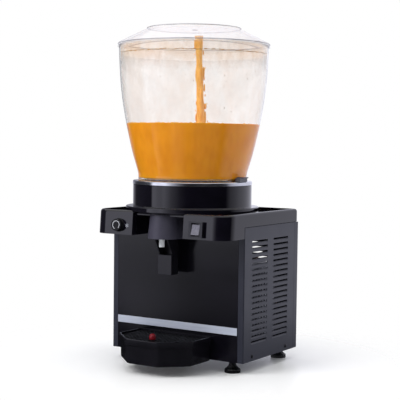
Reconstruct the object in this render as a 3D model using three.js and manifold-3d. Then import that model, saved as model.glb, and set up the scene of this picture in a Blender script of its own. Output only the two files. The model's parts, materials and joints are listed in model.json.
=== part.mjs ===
// Refrigerated drink dispenser with one clear bowl, a chilled steel cup and a push-lever tap.
// Millimetres, +Z up. The front faces -Y and +X is the right side as a user faces the machine.
// The origin is on the table under the middle of the machine, and the group "machine" is centred on the bowl.
import * as THREE from "three";
import { mergeVertices } from "three/addons/utils/BufferGeometryUtils.js";
import Module from "manifold-3d";

const wasm = await Module();
wasm.setup();

// Fits and counts used everywhere
const gap = 0.3; // between seated pieces
const slack = 0.8; // around pieces that move
const overrun = 4; // how far a cutting tool passes the wall it cuts
const sheet = 1.5; // folded steel sheet
const roundSides = 40;
const smallSides = 16;
const rodSides = 8;

// Driving sizes of the case
const foot = { height: 24.4, radius: 17.5, rim: 8, stem: 8, stud: 4, studLength: 9, inSide: 36, inEnd: 18 };
const body = { width: 340, front: 60.5, back: 178, height: 285.2, wrap: 14, backWrap: 16.5 };
const pan = { edge: 14 };
const louvre = { pitch: 11.86, drop: 29, sill: 36, length: 66.7, setback: 32.4, between: 25.9 };
const louvreHole = { slot: 3, scoop: 4.6, depth: 2.6, bevel: 1.6 };
const screw = { radius: 4.2, head: 1.2, shank: 2, length: 6, rise: 10.1, front: 37.6, back: 51.7 };
const backVent = { rows: 12, pitch: 11, slot: 4, length: 84, drop: 40, apart: 60 };
const strip = { rise: 57.8, height: 16, thick: 1.2, inset: 1.2 };
const cover = { seam: 1, skirt: 28.4, drop: 24, overhang: 75.7, lean: 4.2, wall: 3 };
const coverEdge = { front: 36, back: 8, fillet: 6, rim: 7, rimHeight: 6, hole: 80 };
const recess = { half: 65, depth: 60.2, setback: 12 };
const nose = { ahead: 45.5, top: 31.3, bottom: 36.5, wall: 2.5, drop: 4.5 };

// Driving sizes of the cooled base and the bowl
const collar = { radius: 130.4, height: 47.3, wall: 3.5, spigot: 141, stand: 2.7 };
const collarFoot = { radius: 146, height: 11 };
const cup = { rim: 131, rimHeight: 7.9, sheet: 1.2, radius: 112, depth: 44.5 };
const spout = { radius: 8, ahead: 94, length: 12 };
const coil = { tube: 4, turns: 2, pitch: 12, air: 1 };
const insulation = { wall: 3.4 };
const bowl = { foot: 119, rim: 163.8, height: 294.2, wall: 3, ledge: 8, ledgeRise: 3.2, ledgeThick: 2.4 };
const lug = { width: 30, height: 8.2, outer: 130.5, lip: 2, lipOut: 136 };
const lid = { skirt: 10.2, seat: 18.5, wall: 2.5, top: 101.8, height: 53.7 };
const lidLip = { height: 2.2, wall: 2.4 };
const drink = { depth: 123.2, jet: 8.5, jetRise: 20, air: 0.4 };
const jetShares = [
  [0, 1.5],
  [0.06, 1.05],
  [0.3, 0.85],
  [0.62, 1.1],
  [0.86, 0.9],
  [1, 1.25],
];

// Driving sizes of the pump
const pump = { behind: 27.6, motor: 36, motorHeight: 50, flange: 44, flangeThick: 3 };
const magnet = { radius: 26, height: 13, shaft: 4, air: 1.5 };
const impeller = { radius: 22, height: 7, hub: 6, blades: 6, thick: 2.5, lift: 1.2 };
const volute = { radius: 30, wall: 2, height: 14, window: 9 };
const sprayTube = { radius: 7, bore: 5, below: 12 };

// Driving sizes of the tap
const tube = { radius: 6.15, bore: 4, ahead: 116.5, below: 22.7 };
const lever = { half: 17.2, plate: 2.5, back: 80, front: 105.7, below: 85, pad: 42, backBelow: 12 };
const leverHead = { above: 25, front: 126.5, bar: 8, cheekFoot: 100.5, tail: 92, shoulder: 3 };
const pin = { radius: 2.5, ahead: 100, drop: 20.6, half: 24.5, running: 0.3 };
const bracket = { inner: 20.5, plate: 3, back: 92, front: 112, below: 6, top: 2.2 };
const anvil = { thick: 3.6, above: 17 };
const spring = { wire: 0.9, turns: 4, pitch: 2.4, air: 0.5 };

// Driving sizes of the drip tray
const tray = { half: 91.5, reach: 190, side: 74, facet: 40.5, proud: 4.5, wall: 3 };
const trayLevel = { bottom: 21.5, rim: 74.5 };
const trayDepth = { band: 14.5, soft: 8, softInset: 3.5, ledge: 3, behind: 0.8 };
const hook = { across: 60, width: 14, height: 8, rise: 42, reach: 9 };
const grille = { thick: 2.4, sunk: 4, hole: 2.8, pitch: 11, margin: 12 };
const float = { fromFront: 42, stem: 3, head: 8.5, headHeight: 13, rise: 8, hole: 4.2 };

// Driving sizes of the controls
const pods = { across: 100.4, rise: 20.3 };
const knob = { radius: 14, height: 14.5, base: 1.06, face: 0.93, shaft: 3, hub: 5 };
const thermostat = { width: 36, height: 26, depth: 24, bush: 4.6 };
const bezel = { width: 34, height: 33, proud: 8.5, depth: 22, body: 4 };
const rocker = { width: 20, height: 25, depth: 7, pivot: 5 };

// Driving sizes of the cooling works inside the case
const frame = { bridge: 6.4, sheetRise: 1.5, side: 18, post: 14, ends: 6 };
const compressor = { radius: 60, height: 142, x: -78, y: 88, plate: 3, plateHalf: 56 };
const mount = { radius: 9, height: 12 };
const condenser = { thick: 34, depth: 156, height: 176, rise: 18, side: 16, y: 52, lineDip: 3.1 };
const fins = { count: 12, groove: 4, half: 2.4 };
const shroud = { depth: 17, bore: 70, wall: 2, hub: 18, arm: 7, off: 2 };
const fan = { radius: 66, hub: 20, blades: 5, width: 9, thick: 2.2, twist: 0.6 };
const fanMotor = { radius: 25, length: 38, shaft: 3 };
const drier = { radius: 9, height: 92, x: 20, y: 138, z: 60, neck: 4, neckHeight: 6 };
const pipe = { radius: 4, thin: 3 };
const controlBox = { width: 84, depth: 40, height: 58, fromPost: 14.5, y: -30 };
const inlet = { width: 28, height: 22, depth: 26, fromPost: 5.5, rise: 44 };
const inletFlange = { width: 5, thick: 2, pinHole: 4 };

// Levels, worked upwards from the table
const caseBottom = foot.height;
const caseTop = caseBottom + body.height;
const skirtBottom = caseTop + cover.seam;
const rimTop = skirtBottom + cover.skirt;
const podBottom = skirtBottom - cover.drop;
const deckTop = rimTop - coverEdge.rimHeight;
const deckUnder = deckTop - cover.wall;
const flangeBottom = deckTop + gap + collar.stand;
const flangeTop = flangeBottom + collarFoot.height;
const collarTop = flangeTop + collar.height;
const cupRim = collarTop + gap + cup.rimHeight;
const cupFloor = cupRim - cup.depth;
const cupUnder = cupFloor - cup.sheet;
const bowlBottom = cupRim + gap;
const bowlTop = bowlBottom + bowl.height;
const panTop = caseBottom + sheet;
const drinkLevel = bowlBottom + drink.depth;
const jetTop = bowlTop + drink.jetRise;
const pinLevel = caseTop - pin.drop;
const leverBottom = pinLevel - lever.below;
const leverBackTop = pinLevel - lever.backBelow;
const leverTop = pinLevel + leverHead.above;
const leverShoulder = pinLevel + leverHead.shoulder;
const bracketBottom = pinLevel - bracket.below;
const anvilBottom = pinLevel + anvil.above;

// Plan places, with the bowl's axis at zero and the front at negative y
const halfWidth = body.width / 2;
const innerHalf = halfWidth - sheet;
const frontFace = -body.front;
const podFace = frontFace - cover.overhang;
const recessBack = podFace + recess.depth;
const noseAxis = frontFace - nose.ahead;
const noseBottom = podBottom - nose.drop;
const bridgeTop = caseTop + frame.bridge;
const bridgeUnder = bridgeTop - frame.sheetRise;
const louvreRows = 1 + Math.floor((body.height - louvre.drop - louvre.sill) / louvre.pitch);
const postInner = innerHalf - frame.ends - frame.post;
const controlBoxX = -(postInner - controlBox.fromPost - controlBox.width / 2);
const inletX = postInner - inlet.fromPost - inletFlange.width - inlet.width;
const floatAhead = tray.reach - float.fromFront;
const lidRadius = bowl.rim + gap + lid.wall;

// Finishes
function finish(color, roughness, metalness = 0, opacity = 1) {
  return new THREE.MeshStandardMaterial({ color, roughness, metalness, opacity, transparent: opacity < 1 });
}
const glossBlack = finish(0x121217, 0.12);
const satinBlack = finish(0x1b1b20, 0.4);
const darkSheet = finish(0x2e2f35, 0.35, 0.1);
const brushedAluminium = finish(0xb9c0cb, 0.3, 1);
const stainless = finish(0xd2d3d6, 0.22, 1);
const clearPlastic = finish(0xf2f5f6, 0.05, 0, 0.3);
const orangeDrink = finish(0xe9942f, 0.25, 0, 0.9);
const whitePlastic = finish(0xe9eaec, 0.4);
const greyPlastic = finish(0x8d8e96, 0.45);
const rubber = finish(0x0c0c0e, 0.75);
const copper = finish(0xb8683c, 0.3, 1);
const galvanised = finish(0x9a9da1, 0.45, 0.9);
const redPlastic = finish(0xb3122a, 0.35);
const paintedBlack = finish(0x1d1e20, 0.5, 0.3);
const foam = finish(0xe8e2cf, 0.9);

// A closed geometry as a solid. A surface that was listed inside out is turned round.
function solidOf(geometry) {
  const bare = geometry.clone();
  bare.deleteAttribute("normal");
  bare.deleteAttribute("uv");
  const merged = mergeVertices(bare, 1e-4);
  const index = merged.index.array;
  const triangles = [];
  for (let i = 0; i < index.length; i += 3) {
    const [a, b, c] = [index[i], index[i + 1], index[i + 2]];
    if (a !== b && b !== c && c !== a) triangles.push(a, b, c);
  }
  const build = (triVerts) =>
    new wasm.Manifold(
      new wasm.Mesh({ numProp: 3, vertProperties: merged.attributes.position.array, triVerts }),
    );
  const made = build(new Uint32Array(triangles));
  return made.volume() < 0 ? build(new Uint32Array(triangles.reverse())) : made;
}

function geometryOf(solid) {
  const mesh = solid.getMesh();
  const geometry = new THREE.BufferGeometry();
  const positions = new Float32Array(mesh.numVert * 3);
  for (let i = 0; i < mesh.numVert; i++) {
    const start = i * mesh.numProp;
    positions.set(mesh.vertProperties.subarray(start, start + 3), i * 3);
  }
  geometry.setAttribute("position", new THREE.BufferAttribute(positions, 3));
  geometry.setIndex(new THREE.BufferAttribute(new Uint32Array(mesh.triVerts), 1));
  const flat = geometry.toNonIndexed();
  flat.computeVertexNormals();
  return flat;
}

function join(first, ...others) {
  return others.reduce((sum, other) => sum.add(other), first);
}

function cut(first, ...tools) {
  return tools.reduce((rest, tool) => rest.subtract(tool), first);
}

// Basic solids, each from its own limits
function block([x0, x1], [y0, y1], [z0, z1]) {
  const box = new THREE.BoxGeometry(x1 - x0, y1 - y0, z1 - z0);
  return solidOf(box.translate((x0 + x1) / 2, (y0 + y1) / 2, (z0 + z1) / 2));
}

function cylinder(radius, [x, y], [z0, z1], sides = roundSides) {
  const round = new THREE.CylinderGeometry(radius, radius, z1 - z0, sides);
  return solidOf(round.rotateX(Math.PI / 2).translate(x, y, (z0 + z1) / 2));
}

// A rod along X, y and z being the place of its axis
function crossRod(radius, [x0, x1], [y, z], sides = smallSides) {
  const round = new THREE.CylinderGeometry(radius, radius, x1 - x0, sides);
  return solidOf(round.rotateZ(Math.PI / 2).translate((x0 + x1) / 2, y, z));
}

// A profile of [radius, z] pairs turned about the upright axis through x, y
function turned(profile, [x, y] = [0, 0], sides = roundSides) {
  const points = profile.map(([r, z]) => new THREE.Vector2(r, z));
  const onAxis = points[0].x === 0 && points[points.length - 1].x === 0;
  if (!onAxis) points.push(points[0].clone());
  const lathe = new THREE.LatheGeometry(points, sides);
  return solidOf(lathe.rotateX(Math.PI / 2).translate(x, y, 0));
}

// An outline of [x, y] pairs raised from z0 to z1
function raised(outline, [z0, z1]) {
  const shape = new THREE.Shape(outline.map(([x, y]) => new THREE.Vector2(x, y)));
  const geometry = new THREE.ExtrudeGeometry(shape, { depth: z1 - z0, bevelEnabled: false });
  return solidOf(geometry.translate(0, 0, z0));
}

// An outline of [y, z] pairs drawn out from x0 to x1
function across(outline, [x0, x1]) {
  const shape = new THREE.Shape(outline.map(([y, z]) => new THREE.Vector2(y, z)));
  const geometry = new THREE.ExtrudeGeometry(shape, { depth: x1 - x0, bevelEnabled: false });
  const turn = new THREE.Matrix4().makeBasis(
    new THREE.Vector3(0, 1, 0),
    new THREE.Vector3(0, 0, 1),
    new THREE.Vector3(1, 0, 0),
  );
  return solidOf(geometry.applyMatrix4(turn).translate(x0, 0, 0));
}

// An outline of [x, z] pairs drawn out from y0 to y1
function lengthwise(outline, [y0, y1]) {
  const shape = new THREE.Shape(outline.map(([x, z]) => new THREE.Vector2(x, z)));
  const geometry = new THREE.ExtrudeGeometry(shape, { depth: y1 - y0, bevelEnabled: false });
  return solidOf(geometry.rotateX(Math.PI / 2).translate(0, y1, 0));
}

// A skin over rings of equally many points, each ring an array of [x, y, z], closed at both ends
function lofted(given) {
  const flat = (ring) => ring.map(([x, y]) => new THREE.Vector2(x, y));
  const rings = THREE.ShapeUtils.isClockWise(flat(given[0])) ? given.map((ring) => ring.toReversed()) : given;
  const count = rings[0].length;
  const positions = rings.flat(2);
  const index = [];
  for (let level = 0; level + 1 < rings.length; level++) {
    for (let i = 0; i < count; i++) {
      const a = level * count + i;
      const b = level * count + ((i + 1) % count);
      index.push(a, b, b + count, a, b + count, a + count);
    }
  }
  const last = (rings.length - 1) * count;
  for (const [a, b, c] of THREE.ShapeUtils.triangulateShape(flat(rings[0]), [])) {
    index.push(c, b, a);
  }
  for (const [a, b, c] of THREE.ShapeUtils.triangulateShape(flat(rings[rings.length - 1]), [])) {
    index.push(last + a, last + b, last + c);
  }
  const geometry = new THREE.BufferGeometry();
  geometry.setAttribute("position", new THREE.Float32BufferAttribute(positions, 3));
  geometry.setIndex(index);
  return solidOf(geometry);
}

// A round rod, or a pipe when it has a bore, along a smooth curve through points
function rodAlong(points, radius, { bore = 0, sides = rodSides, steps = 16 } = {}) {
  const shape = new THREE.Shape().absarc(0, 0, radius, 0, Math.PI * 2, false);
  if (bore > 0) shape.holes.push(new THREE.Path().absarc(0, 0, bore, 0, Math.PI * 2, true));
  const path = new THREE.CatmullRomCurve3(points.map((p) => new THREE.Vector3(...p)));
  const options = { steps, extrudePath: path, curveSegments: sides / 2, bevelEnabled: false };
  return solidOf(new THREE.ExtrudeGeometry(shape, options));
}

// A rectangle with round corners as [x, y] pairs, its front corners at low y
function roundedOutline([x0, x1], [y0, y1], frontRadius, backRadius, steps = 6) {
  const corners = [
    [x1 - frontRadius, y0 + frontRadius, frontRadius, -Math.PI / 2],
    [x1 - backRadius, y1 - backRadius, backRadius, 0],
    [x0 + backRadius, y1 - backRadius, backRadius, Math.PI / 2],
    [x0 + frontRadius, y0 + frontRadius, frontRadius, Math.PI],
  ];
  return corners.flatMap(([x, y, radius, start]) =>
    Array.from({ length: steps + 1 }, (_, i) => {
      const angle = start + ((Math.PI / 2) * i) / steps;
      return [x + radius * Math.cos(angle), y + radius * Math.sin(angle)];
    }),
  );
}

const model = new THREE.Group();
const machine = new THREE.Group();
const backMost = body.back;
machine.position.y = (tray.reach - backMost) / 2;
model.add(machine);

function piece(name, solid, look, group = machine) {
  const mesh = new THREE.Mesh(geometryOf(solid), look);
  mesh.name = name;
  group.add(mesh);
  return mesh;
}

// Steel base pan with turned-up edges and four holes for the feet
function basePan() {
  const halfPan = innerHalf - gap;
  const y = [frontFace + sheet + gap, body.back - sheet - gap];
  const outside = block([-halfPan, halfPan], y, [caseBottom, caseBottom + pan.edge]);
  const inside = block(
    [-halfPan + sheet, halfPan - sheet],
    [y[0] + sheet, y[1] - sheet],
    [panTop, caseBottom + pan.edge + overrun],
  );
  const holes = footPlaces.map(([, x, yFoot]) =>
    cylinder(foot.stud + gap, [x, yFoot], [caseBottom - overrun, panTop + overrun], smallSides),
  );
  const screwHoles = screwPlaces.map((yScrew) =>
    crossRod(screw.shank + gap, [-halfWidth, halfWidth], [yScrew, caseBottom + screw.rise], rodSides),
  );
  return cut(outside, inside, ...holes, ...screwHoles);
}

const footX = halfWidth - foot.inSide;
const footPlaces = [
  ["foot_front_left", -footX, frontFace + foot.inEnd],
  ["foot_front_right", footX, frontFace + foot.inEnd],
  ["foot_back_left", -footX, body.back - foot.inEnd],
  ["foot_back_right", footX, body.back - foot.inEnd],
];

// Bell-shaped levelling foot with its stud
function levellingFoot(x, y) {
  const flare = foot.radius - foot.stem;
  const bell = foot.height - foot.rim;
  return turned(
    [
      [0, 0],
      [foot.radius - gap * 2, 0],
      [foot.radius, gap * 2],
      [foot.radius, foot.rim * 0.75],
      [foot.radius - flare * 0.15, foot.rim],
      [foot.stem + flare * 0.35, foot.rim + bell * 0.22],
      [foot.stem, foot.rim + bell * 0.6],
      [foot.stem, foot.height - gap],
      [foot.stud, foot.height - gap],
      [foot.stud, foot.height + foot.studLength],
      [0, foot.height + foot.studLength],
    ],
    [x, y],
    smallSides,
  );
}

// Side sheet, folded round the front edge, with two columns of pressed louvres. Side is 1 or -1.
function sidePanel(side) {
  const y0 = frontFace;
  const y1 = body.back - body.backWrap;
  const outline = [
    [halfWidth - body.wrap, y0],
    [halfWidth, y0],
    [halfWidth, y1],
    [innerHalf, y1],
    [innerHalf, y0 + sheet],
    [halfWidth - body.wrap, y0 + sheet],
  ];
  let panel = raised(
    outline.map(([x, y]) => [side * x, y]),
    [caseBottom, caseTop],
  );
  for (const [z, y] of louvrePlaces()) {
    panel = panel.subtract(louvreTool(side, y, z)).add(louvreBlade(side, y, z));
  }
  for (const y of screwPlaces) {
    const hole = crossRod(screw.shank + gap, [-overrun, overrun], [y, caseBottom + screw.rise], rodSides);
    panel = panel.subtract(hole.translate([side * halfWidth, 0, 0]));
  }
  return panel;
}

const screwPlaces = [frontFace + screw.front, body.back - screw.back];

function louvrePlaces() {
  const places = [];
  const columns = [frontFace + louvre.setback, frontFace + louvre.setback + louvre.length + louvre.between];
  for (const y of columns) {
    for (let row = 0; row < louvreRows; row++) places.push([caseTop - louvre.drop - row * louvre.pitch, y]);
  }
  return places;
}

// The opening of one louvre, z being the top of the slot
function louvreTool(side, y, z) {
  const bottom = z - louvreHole.slot - louvreHole.scoop;
  const outline = [
    [y, bottom],
    [y + louvre.length, bottom],
    [y + louvre.length, z - louvreHole.bevel],
    [y + louvre.length - louvreHole.bevel, z],
    [y + louvreHole.bevel, z],
    [y, z - louvreHole.bevel],
  ];
  const [near, far] = [innerHalf - overrun, halfWidth + overrun];
  return across(outline, side > 0 ? [near, far] : [-far, -near]);
}

// The metal under the slot, pressed inwards at its top edge
function louvreBlade(side, y, z) {
  const top = z - louvreHole.slot;
  const lap = louvreHole.bevel / 2;
  const bottom = top - louvreHole.scoop - lap;
  const outer = side * halfWidth;
  const inner = side * innerHalf;
  const push = side * louvreHole.depth;
  const outline = [
    [outer, bottom],
    [outer - push, top],
    [inner - push, top],
    [inner, bottom],
  ];
  return lengthwise(outline, [y - lap, y + louvre.length + lap]);
}

function panelScrew(side, y) {
  const place = [y, caseBottom + screw.rise];
  const out = (x0, x1) => (side > 0 ? [x0, x1] : [-x1, -x0]);
  const seat = halfWidth + gap;
  const shank = crossRod(screw.shank, out(halfWidth - screw.length, seat + screw.head / 2), place, rodSides);
  const rim = crossRod(screw.radius, out(seat, seat + screw.head / 2), place);
  const dome = crossRod(screw.radius * 0.8, out(seat, seat + screw.head), place);
  return join(shank, rim, dome);
}

// Front sheet between the folds of the side sheets, with slots for the tray's hooks
function frontPanel() {
  const half = halfWidth - body.wrap - gap;
  const sheetFront = block([-half, half], [frontFace, frontFace + sheet], [caseBottom, caseTop]);
  const slots = [-1, 1].map((side) => {
    const x = side * hook.across;
    const z = trayLevel.bottom + hook.rise;
    return block(
      [x - hook.width / 2 - slack, x + hook.width / 2 + slack],
      [frontFace - overrun, frontFace + sheet + overrun],
      [z - slack, z + hook.height + slack],
    );
  });
  return cut(sheetFront, ...slots);
}

// Back sheet, folded round both sides, with air slots and the cut-out of the power inlet
function backPanel() {
  const y0 = body.back - body.backWrap + gap;
  const outline = [
    [-halfWidth, y0],
    [-innerHalf, y0],
    [-innerHalf, body.back - sheet],
    [innerHalf, body.back - sheet],
    [innerHalf, y0],
    [halfWidth, y0],
    [halfWidth, body.back],
    [-halfWidth, body.back],
  ];
  let panel = raised(outline, [caseBottom, caseTop]);
  const y = [body.back - sheet - overrun, body.back + overrun];
  for (const side of [-1, 1]) {
    for (let row = 0; row < backVent.rows; row++) {
      const z = caseTop - backVent.drop - row * backVent.pitch;
      const x = side * backVent.apart;
      const slot = block([x - backVent.length / 2, x + backVent.length / 2], y, [z - backVent.slot, z]);
      panel = panel.subtract(slot);
    }
  }
  const z = caseBottom + inlet.rise;
  return panel.subtract(block([inletX, inletX + inlet.width], y, [z, z + inlet.height]));
}

// Plain metal strip across the front sheet
function trimStrip() {
  const half = halfWidth - body.wrap - strip.inset;
  const z = caseBottom + strip.rise;
  const y = frontFace - gap;
  return block([-half, half], [y - strip.thick, y], [z, z + strip.height]);
}

// How far forward the leaning front of the top cover is at a height
function coverFront(z) {
  return podFace + (cover.lean * (z - podBottom)) / (rimTop - podBottom);
}

function coverRing(z, inset) {
  const front = Math.max(coverEdge.front - inset, coverEdge.fillet);
  const back = Math.max(coverEdge.back - inset, gap);
  return roundedOutline(
    [-halfWidth + inset, halfWidth - inset],
    [coverFront(z) + inset, body.back - inset],
    front,
    back,
  ).map(([x, y]) => [x, y, z]);
}

// The nose's outline: a half circle at the front with straight sides running back
function noseRing(z, inset, back) {
  const share = (z - noseBottom) / (deckTop - noseBottom);
  const radius = nose.bottom + (nose.top - nose.bottom) * share - inset;
  const steps = 14;
  const arc = Array.from({ length: steps + 1 }, (_, i) => {
    const angle = Math.PI + (Math.PI * i) / steps;
    return [radius * Math.cos(angle), noseAxis + radius * Math.sin(angle), z];
  });
  return [...arc, [radius, back, z], [-radius, back, z]];
}

// Moulded top cover: a deck with a raised rim, side skirts, and two control pods that overhang the front
function topCover() {
  const fillet = [0, 0.3, 0.6, 0.85, 1].map((share) => {
    const angle = (share * Math.PI) / 2;
    const z = rimTop - coverEdge.fillet * (1 - Math.sin(angle));
    return coverRing(z, coverEdge.fillet * (1 - Math.cos(angle)));
  });
  const outside = lofted([coverRing(podBottom, 0), ...fillet]);
  const deckWell = lofted([coverRing(deckTop, coverEdge.rim), coverRing(rimTop + overrun, coverEdge.rim)]);
  const hollow = lofted([coverRing(podBottom + cover.wall, cover.wall), coverRing(deckUnder, cover.wall)]);
  const wide = halfWidth + overrun;
  const caseRoom = block(
    [-wide, wide],
    [frontFace - gap, body.back + overrun],
    [podBottom - overrun, skirtBottom],
  );
  const recessRoom = block(
    [-recess.half, recess.half],
    [podFace - overrun, recessBack],
    [podBottom - overrun, deckUnder],
  );
  const recessWall = block(
    [-recess.half - cover.wall, recess.half + cover.wall],
    [podFace - overrun, recessBack + cover.wall],
    [podBottom - overrun, deckUnder],
  );
  const rimGap = block(
    [-recess.half, recess.half],
    [podFace - overrun, podFace + recess.setback],
    [deckUnder - overrun, rimTop + overrun],
  );
  const noseRoom = lofted([
    noseRing(deckUnder - overrun, -gap, recessBack + gap),
    noseRing(deckTop + overrun, -gap, recessBack + gap),
  ]);
  const flangeRoom = cylinder(collarFoot.radius + slack, [0, 0], [deckTop, rimTop + overrun]);
  const deckHole = cylinder(coverEdge.hole, [0, 0], [deckUnder - overrun, deckTop + overrun]);
  const hollowBehindRecess = cut(hollow, recessWall);
  return cut(
    outside,
    deckWell,
    flangeRoom,
    hollowBehindRecess,
    caseRoom,
    recessRoom,
    rimGap,
    cut(deckHole, noseBackStop()),
    noseRoom,
    controlHole(-pods.across, thermostat.bush + gap),
    switchHole(),
  );
}

// Keeps the deck whole in front of the recess wall, where the nose meets it
function noseBackStop() {
  const wide = coverEdge.hole + overrun;
  return block(
    [-wide, wide],
    [-wide - recess.depth, recessBack + cover.wall],
    [deckUnder - overrun * 2, deckTop + overrun * 2],
  );
}

// Things on the leaning fascia are built upright in a group whose origin is on the fascia, facing -Y
const fasciaZ = podBottom + pods.rise;
const fasciaTilt = Math.atan(cover.lean / (rimTop - podBottom));
function fasciaGroup(x) {
  const group = new THREE.Group();
  group.position.set(x, coverFront(fasciaZ), fasciaZ);
  group.rotation.x = -fasciaTilt;
  machine.add(group);
  return group;
}

function onFascia(solid, x) {
  const tilt = new THREE.Matrix4().makeRotationX(-fasciaTilt);
  tilt.setPosition(x, coverFront(fasciaZ), fasciaZ);
  return solid.transform(tilt.elements);
}

function frontRod(radius, [y0, y1], sides = smallSides) {
  const round = new THREE.CylinderGeometry(radius, radius, y1 - y0, sides);
  return solidOf(round.translate(0, (y0 + y1) / 2, 0));
}

function controlHole(x, radius) {
  return onFascia(frontRod(radius, [-overrun, cover.wall + overrun]), x);
}

const switchBodyHalf = bezel.width / 2 - bezel.body;
const switchBodyHigh = bezel.height / 2 - bezel.body;
function switchHole() {
  const tool = block(
    [-switchBodyHalf - gap, switchBodyHalf + gap],
    [-overrun, cover.wall + overrun],
    [-switchBodyHigh - gap, switchBodyHigh + gap],
  );
  return onFascia(tool, pods.across);
}

// Tap cover that hangs in the recess under the collar, open below and behind
function tapNose() {
  const back = recessBack - gap;
  const shell = lofted([noseRing(noseBottom, 0, back), noseRing(deckTop, 0, back)]);
  const inside = lofted([
    noseRing(noseBottom - overrun, nose.wall, back + overrun),
    noseRing(deckTop - nose.wall, nose.wall, back + overrun),
  ]);
  return cut(shell, inside, tubeRun(tube.radius + slack, 0));
}

// Glossy collar round the cooled cup, with a wide foot flange and a short spigot on the deck
function collarShell() {
  const inner = collar.radius - collar.wall;
  const edge = collarFoot.height * 0.18;
  return turned([
    [inner, deckTop + gap],
    [collar.spigot, deckTop + gap],
    [collar.spigot, flangeBottom],
    [collarFoot.radius - edge, flangeBottom],
    [collarFoot.radius, flangeBottom + edge],
    [collarFoot.radius, flangeTop - edge * 1.6],
    [collarFoot.radius - edge * 1.6, flangeTop],
    [collar.radius + edge, flangeTop],
    [collar.radius, flangeTop + edge],
    [collar.radius, collarTop],
    [inner, collarTop],
  ]);
}

// Pressed steel cup whose rolled rim shows as the bright ring
function coolingCup() {
  const outer = cup.radius + cup.sheet;
  const shell = turned([
    [0, cupUnder],
    [outer, cupUnder],
    [outer, cupRim - cup.sheet],
    [cup.rim - cup.sheet, cupRim - cup.sheet],
    [cup.rim - cup.sheet, collarTop + gap],
    [cup.rim, collarTop + gap],
    [cup.rim, cupRim - cup.sheet],
    [cup.rim - cup.sheet, cupRim],
    [cup.radius, cupRim],
    [cup.radius, cupFloor],
    [0, cupFloor],
  ]);
  const place = [0, -spout.ahead];
  const pipeEnd = cylinder(
    spout.radius,
    place,
    [cupUnder - spout.length, cupFloor - cup.sheet / 2],
    smallSides,
  );
  const bore = cylinder(
    spout.radius - cup.sheet,
    place,
    [cupUnder - spout.length - overrun, cupFloor + overrun],
    smallSides,
  );
  return cut(join(shell, pipeEnd), bore);
}

// Evaporator pipe wound round the cup, with its two tails led down through the deck
function evaporatorCoil() {
  const radius = cup.radius + cup.sheet + coil.air + coil.tube;
  const low = cupUnder + coil.tube + gap;
  const steps = 34 * coil.turns;
  const winding = Array.from({ length: steps + 1 }, (_, i) => {
    const angle = Math.PI * 0.5 + (Math.PI * 2 * coil.turns * i) / steps;
    return [radius * Math.cos(angle), radius * Math.sin(angle), low + (coil.pitch * coil.turns * i) / steps];
  });
  const shape = new THREE.Shape().absarc(0, 0, coil.tube, 0, Math.PI * 2, false);
  const path = new THREE.CatmullRomCurve3(winding.map((p) => new THREE.Vector3(...p)));
  const options = { steps, extrudePath: path, curveSegments: 3, bevelEnabled: false };
  return solidOf(new THREE.ExtrudeGeometry(shape, options));
}

function insulationRing() {
  const outer = collar.radius - collar.wall - gap;
  const inner = outer - insulation.wall;
  return turned([
    [inner, cupUnder],
    [outer, cupUnder],
    [outer, cupRim - cup.rimHeight],
    [inner, cupRim - cup.rimHeight],
  ]);
}

// The bowl's outside as shares of its height and of the growth of its radius, from foot to rim
const bowlShares = [
  [0, 0],
  [0.05, 0.012],
  [0.1, 0.1],
  [0.2, 0.29],
  [0.32, 0.475],
  [0.45, 0.65],
  [0.6, 0.813],
  [0.78, 0.935],
  [1, 1],
];

function bowlRadius(z) {
  const share = Math.min(1, (z - bowlBottom) / bowl.height);
  const next = Math.max(1, bowlShares.findIndex(([height]) => height >= share));
  const [h0, r0] = bowlShares[next - 1];
  const [h1, r1] = bowlShares[next];
  const growth = r0 + ((r1 - r0) * (share - h0)) / (h1 - h0);
  return bowl.foot + (bowl.rim - bowl.foot) * growth;
}

const bowlLevels = bowlShares.map(([height]) => bowlBottom + height * bowl.height);
const ledgeBottom = bowlBottom + bowl.ledgeRise;
const ledgeTop = ledgeBottom + bowl.ledgeThick;
const ledgeInner = bowl.foot - bowl.wall - bowl.ledge;

function bowlShell() {
  const outside = bowlLevels.map((z) => [bowlRadius(z), z]);
  const inside = bowlLevels
    .slice(1)
    .reverse()
    .map((z) => [bowlRadius(z) - bowl.wall, z]);
  const ledge = [
    [bowl.foot - bowl.wall, ledgeTop],
    [ledgeInner, ledgeTop],
    [ledgeInner, ledgeBottom],
    [bowl.foot - bowl.wall, ledgeBottom],
    [bowl.foot - bowl.wall, bowlBottom],
  ];
  return turned([...outside, ...inside, ...ledge]);
}

function bowlSeal() {
  const outer = bowl.foot - bowl.wall - gap;
  return turned([
    [ledgeInner + gap, bowlBottom],
    [outer, bowlBottom],
    [outer, ledgeBottom - gap],
    [ledgeInner + gap, ledgeBottom - gap],
  ]);
}

// Grey lug that locks the bowl down on the ring, on its left and right. Side is 1 or -1.
function bowlLug(side) {
  const half = lug.width / 2;
  const span = (a, b) => (side > 0 ? [a, b] : [-b, -a]);
  const post = block(
    span(bowl.foot - lug.lip, lug.outer),
    [-half, half],
    [bowlBottom, bowlBottom + lug.height],
  );
  const lip = block(
    span(bowl.foot - lug.lip, lug.lipOut),
    [-half * 0.7, half * 0.7],
    [bowlBottom + lug.height - gap, bowlBottom + lug.height + lug.lip],
  );
  const bowlRoom = turned([
    [0, bowlBottom - overrun],
    [bowl.foot + gap, bowlBottom - overrun],
    [bowlRadius(bowlLevels[1]) + gap, bowlLevels[1]],
    [bowlRadius(bowlLevels[2]) + gap, bowlLevels[2]],
    [0, bowlLevels[2]],
  ]);
  return cut(join(post, lip), bowlRoom);
}

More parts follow.
